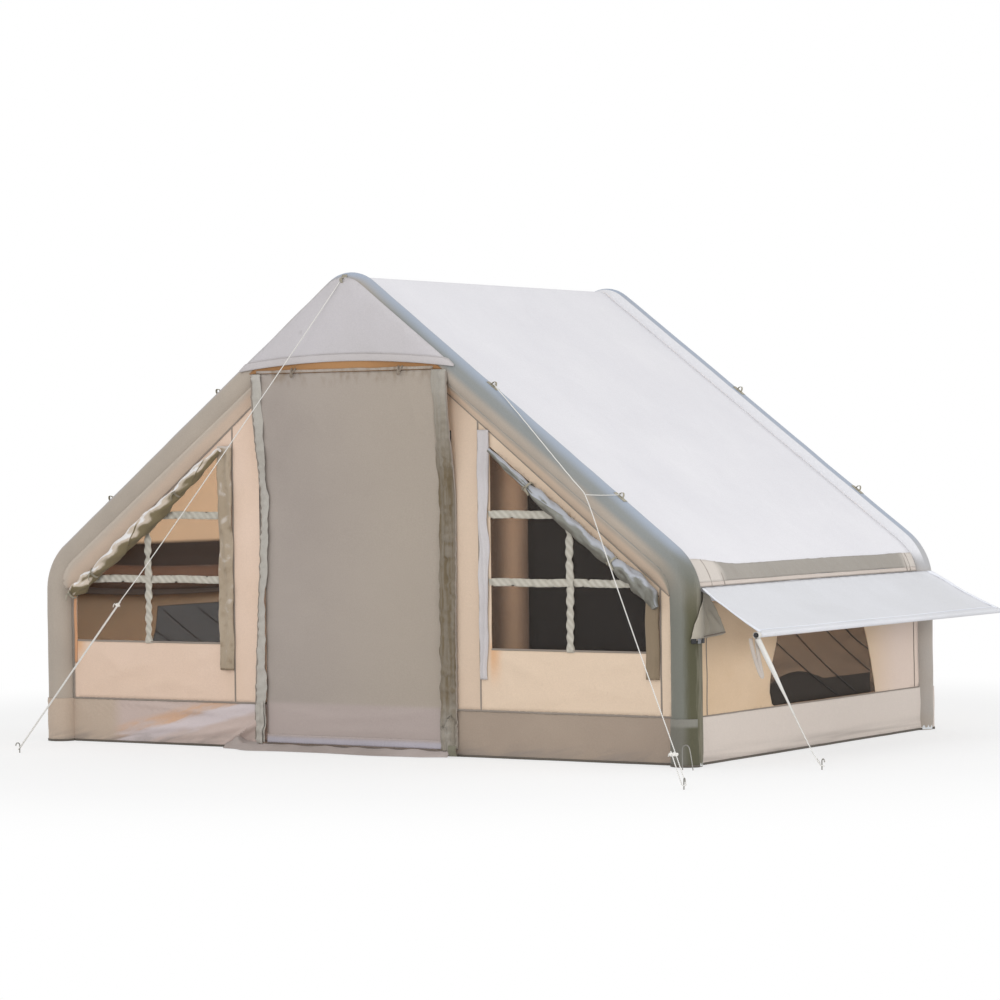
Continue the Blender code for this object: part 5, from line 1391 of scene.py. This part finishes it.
# The taupe band is painted shade on the roof cloth's turn over the eave.
eave_shade_cloth = woven("eave_shade_cloth", "A39D95", "98928A", 0.75, crease=0.005, fade=band_tint)
eave_trim_cloth = woven("eave_trim_cloth", "D2C7BF", "C5B9AF", 0.8, crease=0.004)
awning_cloth = woven("awning_cloth", "DBDCE1", "D5D6DA", 0.6, crease=0.004, sheen=0.05)
awning_hem_cloth = woven("awning_hem_cloth", "EEF0F6", "E2E5EE", 0.6)
# Strips along the eave: height from and to, distance out, cloth and depth of the folds
eave_strips = {
    "band": (band_low, None, 0.0042, eave_shade_cloth, 0.0040),
    "trim": (header_top, band_low, 0.0028, eave_trim_cloth, 0.0026),
}
for way, side in (("left", -1), ("right", 1)):
    for kind, (low, edge, proud, finish, folds) in eave_strips.items():
        rows = []
        for y in spaced(-eave_end, eave_end, 150):
            row = []
            high = edge or band_top(y)
            for t in spaced(0, 1, 9):
                z = low + (high - low) * t + 0.0025 * wobble(y * 4, side, t)
                slant = y * 60 + 2.5 * t + 4 * wobble(y * 3, side, 0)
                lift = folds * max(0, math.sin(slant)) ** 3 * hump(t)
                row.append(eave_spot(side, y, z, proud + max(0, lift + rumple((side, y, z), 0.04, folds))))
            rows.append(row)
        dress(cloth(f"{way}_eave_{kind}", rows, 0.002), finish, "roof")
    lines = [[eave_spot(side, y, header_top, 0.0040) for y in spaced(-eave_end, eave_end, 110)]]
    for y in (-0.86, -0.752, 0.875, 0.905):
        lines.append([eave_spot(side, y, z, 0.0052) for z in spaced(header_top, band_top(y), 10)])
    eave_cord = woven(f"{way}_eave_seam_cord", "A79E97", "978E86", 0.85)
    seams(f"{way}_eave_seams", lines, (side, 0, 0.3), eave_cord, "roof", 0.005, 0.0022)

hinge_x, rim_x, rim_z, awning_half, seam_half = 1.6108, 1.9451, 0.5251, 1.090, 1.014
pole_radius, hem_reach = 0.008, 0.0095


def awning_spot(y, t, proud=0.0):
    """A spot on the awning, from its seam at the eave (0) to its pole (1)."""
    v = y / awning_half
    root_y = y * seam_half / awning_half
    start = eave_spot(1, root_y, header_top - 0.003, 0.0016)
    beside = (tube_radius + 0.004) ** 2 - (abs(root_y) - half_depth) ** 2
    if beside > 0:
        start.x = max(start.x, half_span + math.sqrt(beside))
    start.y = root_y
    end = Vector((rim_x, y, rim_z + hem_reach * 0.9))
    sag = -0.014 * hump(t) * (1 - 0.6 * v * v)
    fold = 0.0035 * hump(t) * math.sin(7 * y + 3 * t)
    fold += rumple((0, y, t * 0.36), 0.13, 0.005, 2) * hump(t)
    fold += 0.0020 * math.sin(y * 70 + 5 * t) * bell((t - 0.07) / 0.06)
    return start + (end - start) * t + Vector((0.42, 0, 0.91)) * (sag + fold + proud)


def hang_awning(piece, finish, *nodes):
    """Gives a piece of the awning its finish, bakes its place into its mesh and hides the solids that it
    stands for.
    """
    piece.data.materials.append(finish)
    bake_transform(piece)
    if nodes:
        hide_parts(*nodes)
    return piece


rows = []
for y in spaced(-awning_half, awning_half, 110):
    row = [awning_spot(y, t) for t in spaced(0, 1, 26)[:-1]]
    for a in spaced(math.radians(100), math.radians(-215), 14):
        row.append(Vector((rim_x + hem_reach * math.cos(a), y, rim_z + hem_reach * math.sin(a))))
    rows.append(row)
awning = hang_awning(cloth("right_awning_cloth", rows, 0.0018), awning_cloth, "right_awning")

for i, flank in enumerate((-1, 1)):
    rows = []
    for t in spaced(0.01, 0.985, 40):
        row = []
        for w in spaced(0, 0.026, 5):
            y = flank * (awning_half + 0.0015 - w)
            row.append(awning_spot(y, t, 0.0022 + rumple((flank, w, t), 0.05, 0.0010)))
        rows.append(row)
    hang_awning(cloth(f"awning_side_hem_{i}", rows, 0.0016), awning_hem_cloth)
stitch = [awning_spot(y, 0.945, 0.0018) for y in spaced(-awning_half + 0.01, awning_half - 0.01, 100)]
seams("awning_hem_seam", [stitch], (0.3, 0, 1), awning_hem_cloth, "roof", 0.005, 0.0016, "awning")

ink = Finish("pole_metal")
brushed = ink.noise(ink.stretch(ink.coords(), 300.0, 4.0, 300.0), 1.0)
polish = ink.scale(brushed, 0, 1, 0.28, 0.48)
pole_metal = ink.coat({"Base Color": "8B8C8F", "Metallic": 0.9, "Roughness": polish})
ink = Finish("black_moulding")
grained = ink.bump(ink.noise(ink.coords(), 900.0), 0.0002, 0.4)
black_plastic = ink.coat({"Base Color": "1C1C1E", "Roughness": 0.42, "Normal": grained})


def round_bar(name, middle, radius, length):
    """A round bar lying along the tent's depth."""
    sizes = {"vertices": 32, "radius": radius, "depth": length, "rotation": (math.pi / 2, 0, 0)}
    return primitive(name, bpy.ops.mesh.primitive_cylinder_add, middle, **sizes)


rod = round_bar("awning_pole_rod", (rim_x, 0, rim_z), pole_radius * 0.97, 2.236)
bpy.ops.object.shade_smooth_by_angle(angle=math.radians(35))
dress(rod, pole_metal, "pole", "awning_pole", body="awning")
for i, flank in enumerate((-1, 1)):
    cap = round_bar(f"awning_pole_cap_{i}", (rim_x, flank * 1.1115, rim_z), 0.0086, 0.0290)
    apply_modifier(cap, "BEVEL", width=0.0028, segments=3, limit_method="ANGLE")
    bpy.ops.object.shade_smooth_by_angle(angle=math.radians(35))
    dress(cap, black_plastic, "black_plastic", body="awning")

strap_cloth = woven("strap_cloth", "E3E1DD", "CBC8C3", 0.75, period=0.0032, crease=0.002)
strap_top, strap_foot = Vector((1.9462, -1.1080, 0.5130)), Vector((2.0540, -1.0170, 0.2135))
run = (strap_foot - strap_top).normalized()
across = Vector((0.80, 0.55, 0)).cross(run).cross(run).normalized()
out = across.cross(run).normalized()
rows = []
for t in spaced(0, 1, 40):
    middle = strap_top + (strap_foot - strap_top) * t
    width = 0.020 - 0.014 * smooth((t - 0.15) / 0.85)
    row = []
    for w in spaced(-0.5, 0.5, 5):
        curl = 0.0025 * math.sin(5 * t + 3 * w) + 0.003 * (1 - t) * math.cos(2 * w * math.pi)
        row.append(middle + across * w * width + out * curl)
    rows.append(row)
strap = cloth("awning_stay_strap", rows, 0.0022)
strap.data.materials.append(strap_cloth)
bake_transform(strap)
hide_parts("awning_guy_strap")

rows = []
for a in spaced(math.radians(-65), math.radians(245), 26):
    out = Vector((math.cos(a), 0, math.sin(a))) * 0.0125
    rows.append([Vector((rim_x, -1.108 + w, rim_z)) + out for w in spaced(-0.011, 0.011, 4)])
dress(cloth("awning_strap_sleeve", rows, 0.0018), strap_cloth, "webbing", body="awning")
rows = []
for t in spaced(0, 1, 44):
    x = 1.930 + 0.036 * hump(t) ** 1.5 + 0.008 * (2 * t - 1)
    middle = Vector((x, -1.1105 + 0.010 * (2 * t - 1), 0.5135 - 0.150 * hump(t)))
    rows.append([middle + Vector((0.55, 0.6, 0.12)).normalized() * w for w in spaced(-0.0075, 0.0075, 4)])
loop_cloth = woven("loop_cloth", "BDB4AC", "A79C93", 0.8, period=0.0032, crease=0.003)
loose = dress(cloth("awning_loose_loop", rows, 0.0016), loop_cloth, "webbing", body="awning")

gusset_cloth = woven("gusset_cloth", "BAB3A6", "A19989", 0.7, crease=0.012)
gusset_outline = [(-0.975, 0.686), (-0.900, 0.668), (-0.845, 0.612), (-0.806, 0.568), (-0.777, 0.528)]
gusset_outline += [(-0.772, 0.513), (-0.800, 0.506), (-0.880, 0.503), (-0.960, 0.498), (-1.030, 0.496)]
gusset_outline += [(-1.076, 0.500), (-1.062, 0.560), (-1.030, 0.625)]
gusset_creases = [
    ((-0.955, 0.63), (-0.90, 0.51), 0.012, 0.010), ((-0.94, 0.62), (-0.85, 0.51), 0.010, -0.004),
    ((-0.93, 0.61), (-0.80, 0.53), 0.010, 0.009), ((-0.975, 0.65), (-0.985, 0.51), 0.008, 0.007),
]
leg_wrap = 0.0655


def gusset_place(u, v, proud=0.0):
    beside = leg_wrap**2 - (u + half_depth) ** 2
    leg = half_span + math.sqrt(beside) if beside > 0 else 0
    lift = pulls(u, v, gusset_creases) + rumple((0, u, v), 0.03, 0.003)
    return Vector((max(1.6140, leg + 0.002) + 0.001 + max(-0.0008, lift) + proud, u, v))


gusset = cut("awning_tie_cloth", gusset_outline, [], gusset_place, 0.008, 0.0016)
dress(gusset, gusset_cloth, "roof", "awning_tie")
spots = zip(spaced(-1.072, -0.776, 46), spaced(0.498, 0.515, 46))
line = [gusset_place(u, v, 0.0014) for u, v in spots]
seams("awning_tie_hem", [line], (1, 0, 0), seam_cord, "roof", 0.006, 0.003)
buckle = [(-1.068, 0.022, black_plastic), (-1.045, 0.018, pole_metal), (-1.020, 0.024, black_plastic)]
for i, (y, wide, finish) in enumerate(buckle):
    place, turn = gusset_place(y, 0.494, 0.003), (0, 0, math.asin((y + half_depth) / leg_wrap))
    sizes = {"size": 1, "rotation": turn, "scale": (0.006, wide, 0.019)}
    block = primitive(f"awning_tie_buckle_{i}", bpy.ops.mesh.primitive_cube_add, place, **sizes)
    apply_modifier(block, "BEVEL", width=0.002, segments=3)
    dress(block, finish, "black_plastic")


# Rear end and left eave: mesh door with a taped edge on the rear doorway, the cloth door
# rolled up and tied over it, and the left awning rolled up under its eave.

rear_mesh_cloth = see_through("rear_mesh_cloth", "171513", 0.93)


def rear_door_place(u, v, proud=0.0):
    return Vector((u, front_layer + rumple((u, 1, v), 0.25, 0.0015) + proud, v))


def rectangle(half, low, high):
    """Corners of an upright panel, drawn in (u, v)."""
    return [(-half, low), (half, low), (half, high), (-half, high)]


rear_door = cut("rear_mesh_door_cloth", rectangle(0.4495, 0.031, 1.499), [], rear_door_place, 0.05, 0.001)
dress(rear_door, rear_mesh_cloth, "mesh", "rear_mesh_door", body="rear_mesh_door")
border = rectangle(0.441, 0.040, 1.490)
lines = []
for a, b in zip(border, border[1:] + border[:1]):
    steps = zip(spaced(a[0], b[0], 40), spaced(a[1], b[1], 40))
    lines.append([rear_door_place(u, v, 0.0014) for u, v in steps])
seams("rear_mesh_door_tape", lines, (0, 1, 0), webbing, "door", 0.016, 0.0016, "rear_mesh_door")

coil_plastic = woven("coil_plastic", "2A2A2B", "1E1E1F", 0.6, period=0.0015, crease=0.001)
coil_layer, coil_low, coil_high = 1.0298, 0.195, 1.335
for i, (x, side) in enumerate(((-0.487, -1), (0.487, -1), (0.487, 1))):
    line = [(x, side * coil_layer, z) for z in spaced(coil_low, coil_high, 60)]
    seams(f"zip_coil_{i}", [line], (0, side, 0), coil_plastic, "black_plastic", 0.007, 0.0014)

rear_roll_cloth = woven("rear_roll_cloth", "A49A93", "938A82", 0.8, crease=0.006)
roll_layer, roll_height = 1.0630, 1.4815
line = [(x, roll_layer, roll_height + 0.003 * math.sin(x * 5)) for x in spaced(-0.449, 0.449, 90)]
swell = [(0, 0.027), (0.15, 0.032), (0.22, 0.0245), (0.29, 0.032), (0.71, 0.032), (0.78, 0.0245)]
swell += [(0.85, 0.032), (1, 0.027)]
roll = rolled("rear_door_roll_cloth", line, (0, 1, 0), swell, 0.3)
dress(roll, rear_roll_cloth, "door", "rear_door_roll")
for i, x in enumerate((-0.251, 0.251)):
    tie(f"rear_door_tie_{i}", (x, roll_layer, roll_height), (1, 0, 0), (0, 1, 0), 0.0275)

line = []
for y in spaced(-0.964, 0.964, 150):
    line.append((-1.6366, y, 0.6500 - eave_sag(y) + 0.0015 * math.sin(y * 8) - 0.0005))
swell = [(0, 0.0205), (0.10, 0.0245), (0.15, 0.0195), (0.20, 0.0245), (0.45, 0.0245), (0.50, 0.0195)]
swell += [(0.55, 0.0245), (0.80, 0.0245), (0.85, 0.0195), (0.90, 0.0245), (1, 0.0205)]
roll = rolled("left_awning_roll_cloth", line, (-1, 0, 0), swell, 0.4)
dress(roll, awning_cloth, "roof", "left_awning_roll")
for i, share in enumerate((0.15, 0.50, 0.85)):
    tie(f"left_awning_tie_{i}", line[round(share * 150)], (0, 1, 0), (-1, 0, 0), 0.0215)

# Small fittings: steel pegs bent from wire, moulded line runners and zip sliders, and the
# white screw-in inflation valve low on the rear left leg, with its sprung plunger.


def moulded(name, colour, rough, grain_size, depth, metal=0.0):
    """A moulded or drawn part: even colour, fine grain and slightly uneven gloss."""
    ink = Finish(name)
    spot = ink.coords()
    grained = ink.bump(ink.noise(spot, 1 / grain_size), depth, 0.5)
    gloss = ink.scale(ink.noise(spot, 60.0, Detail=3.0), 0, 1, rough - 0.1, rough + 0.1)
    return ink.coat({"Base Color": colour, "Metallic": metal, "Roughness": gloss, "Normal": grained})


peg_steel = moulded("peg_steel", "8D8B86", 0.40, 0.0015, 0.0002, 0.85)
runner_plastic = moulded("runner_plastic", "ECEAE4", 0.38, 0.0010, 0.0001)
valve_plastic = moulded("valve_plastic", "E6E7E6", 0.35, 0.0012, 0.0001)
slider_metal = moulded("slider_metal", "55534F", 0.38, 0.0010, 0.0001, 0.6)
solid_finishes = {
    peg_steel: ("left_peg", "right_peg", "awning_peg"),
    runner_plastic: ("left_guy_runner", "right_guy_runner"),
    valve_plastic: ("valve_body", "valve_cap", "valve_plunger"),
    slider_metal: ("door_left_zip_slider", "door_right_zip_slider", "rear_zip_slider"),
}
for finish, names in solid_finishes.items():
    for name in names:
        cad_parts[name].data.materials[0] = finish

staple_wire = [
    (1.6420, -1.1700, 0.000), (1.6415, -1.1700, 0.070), (1.6440, -1.1700, 0.088),
    (1.6530, -1.1705, 0.095), (1.6640, -1.1710, 0.096), (1.6730, -1.1715, 0.088),
    (1.6800, -1.1715, 0.060), (1.6900, -1.1720, 0.000),
]
bent_curve("right_foot_staple", staple_wire, 0.0022, peg_steel, "root")

# Loose ends of the guy lines: the runner they leave, where, and which way they start
loose_ends = [
    ("left_runner", (-0.9140, -1.4780, 0.6240), (0.62, 0.25, 0.74)),
    ("right_runner", (1.9700, -1.8100, 0.1240), (-0.6, 0.5, 0.6)),
]
for i, (runner, place, along) in enumerate(loose_ends):
    for k, lean in enumerate((-0.5, 0.9)):
        start = Vector(place)
        way = Vector(along) * 0.3 + Vector((lean, -0.3, 0.1 * k))
        steps = ((0.008, 0.003), (0.020, -0.004), (0.026, -0.016))
        tail = [start] + [start + way * reach + Vector((0, 0, rise)) for reach, rise in steps]
        bent_curve(f"guy_tail_{i}_{k}", tail, 0.0017, white_braid, runner)
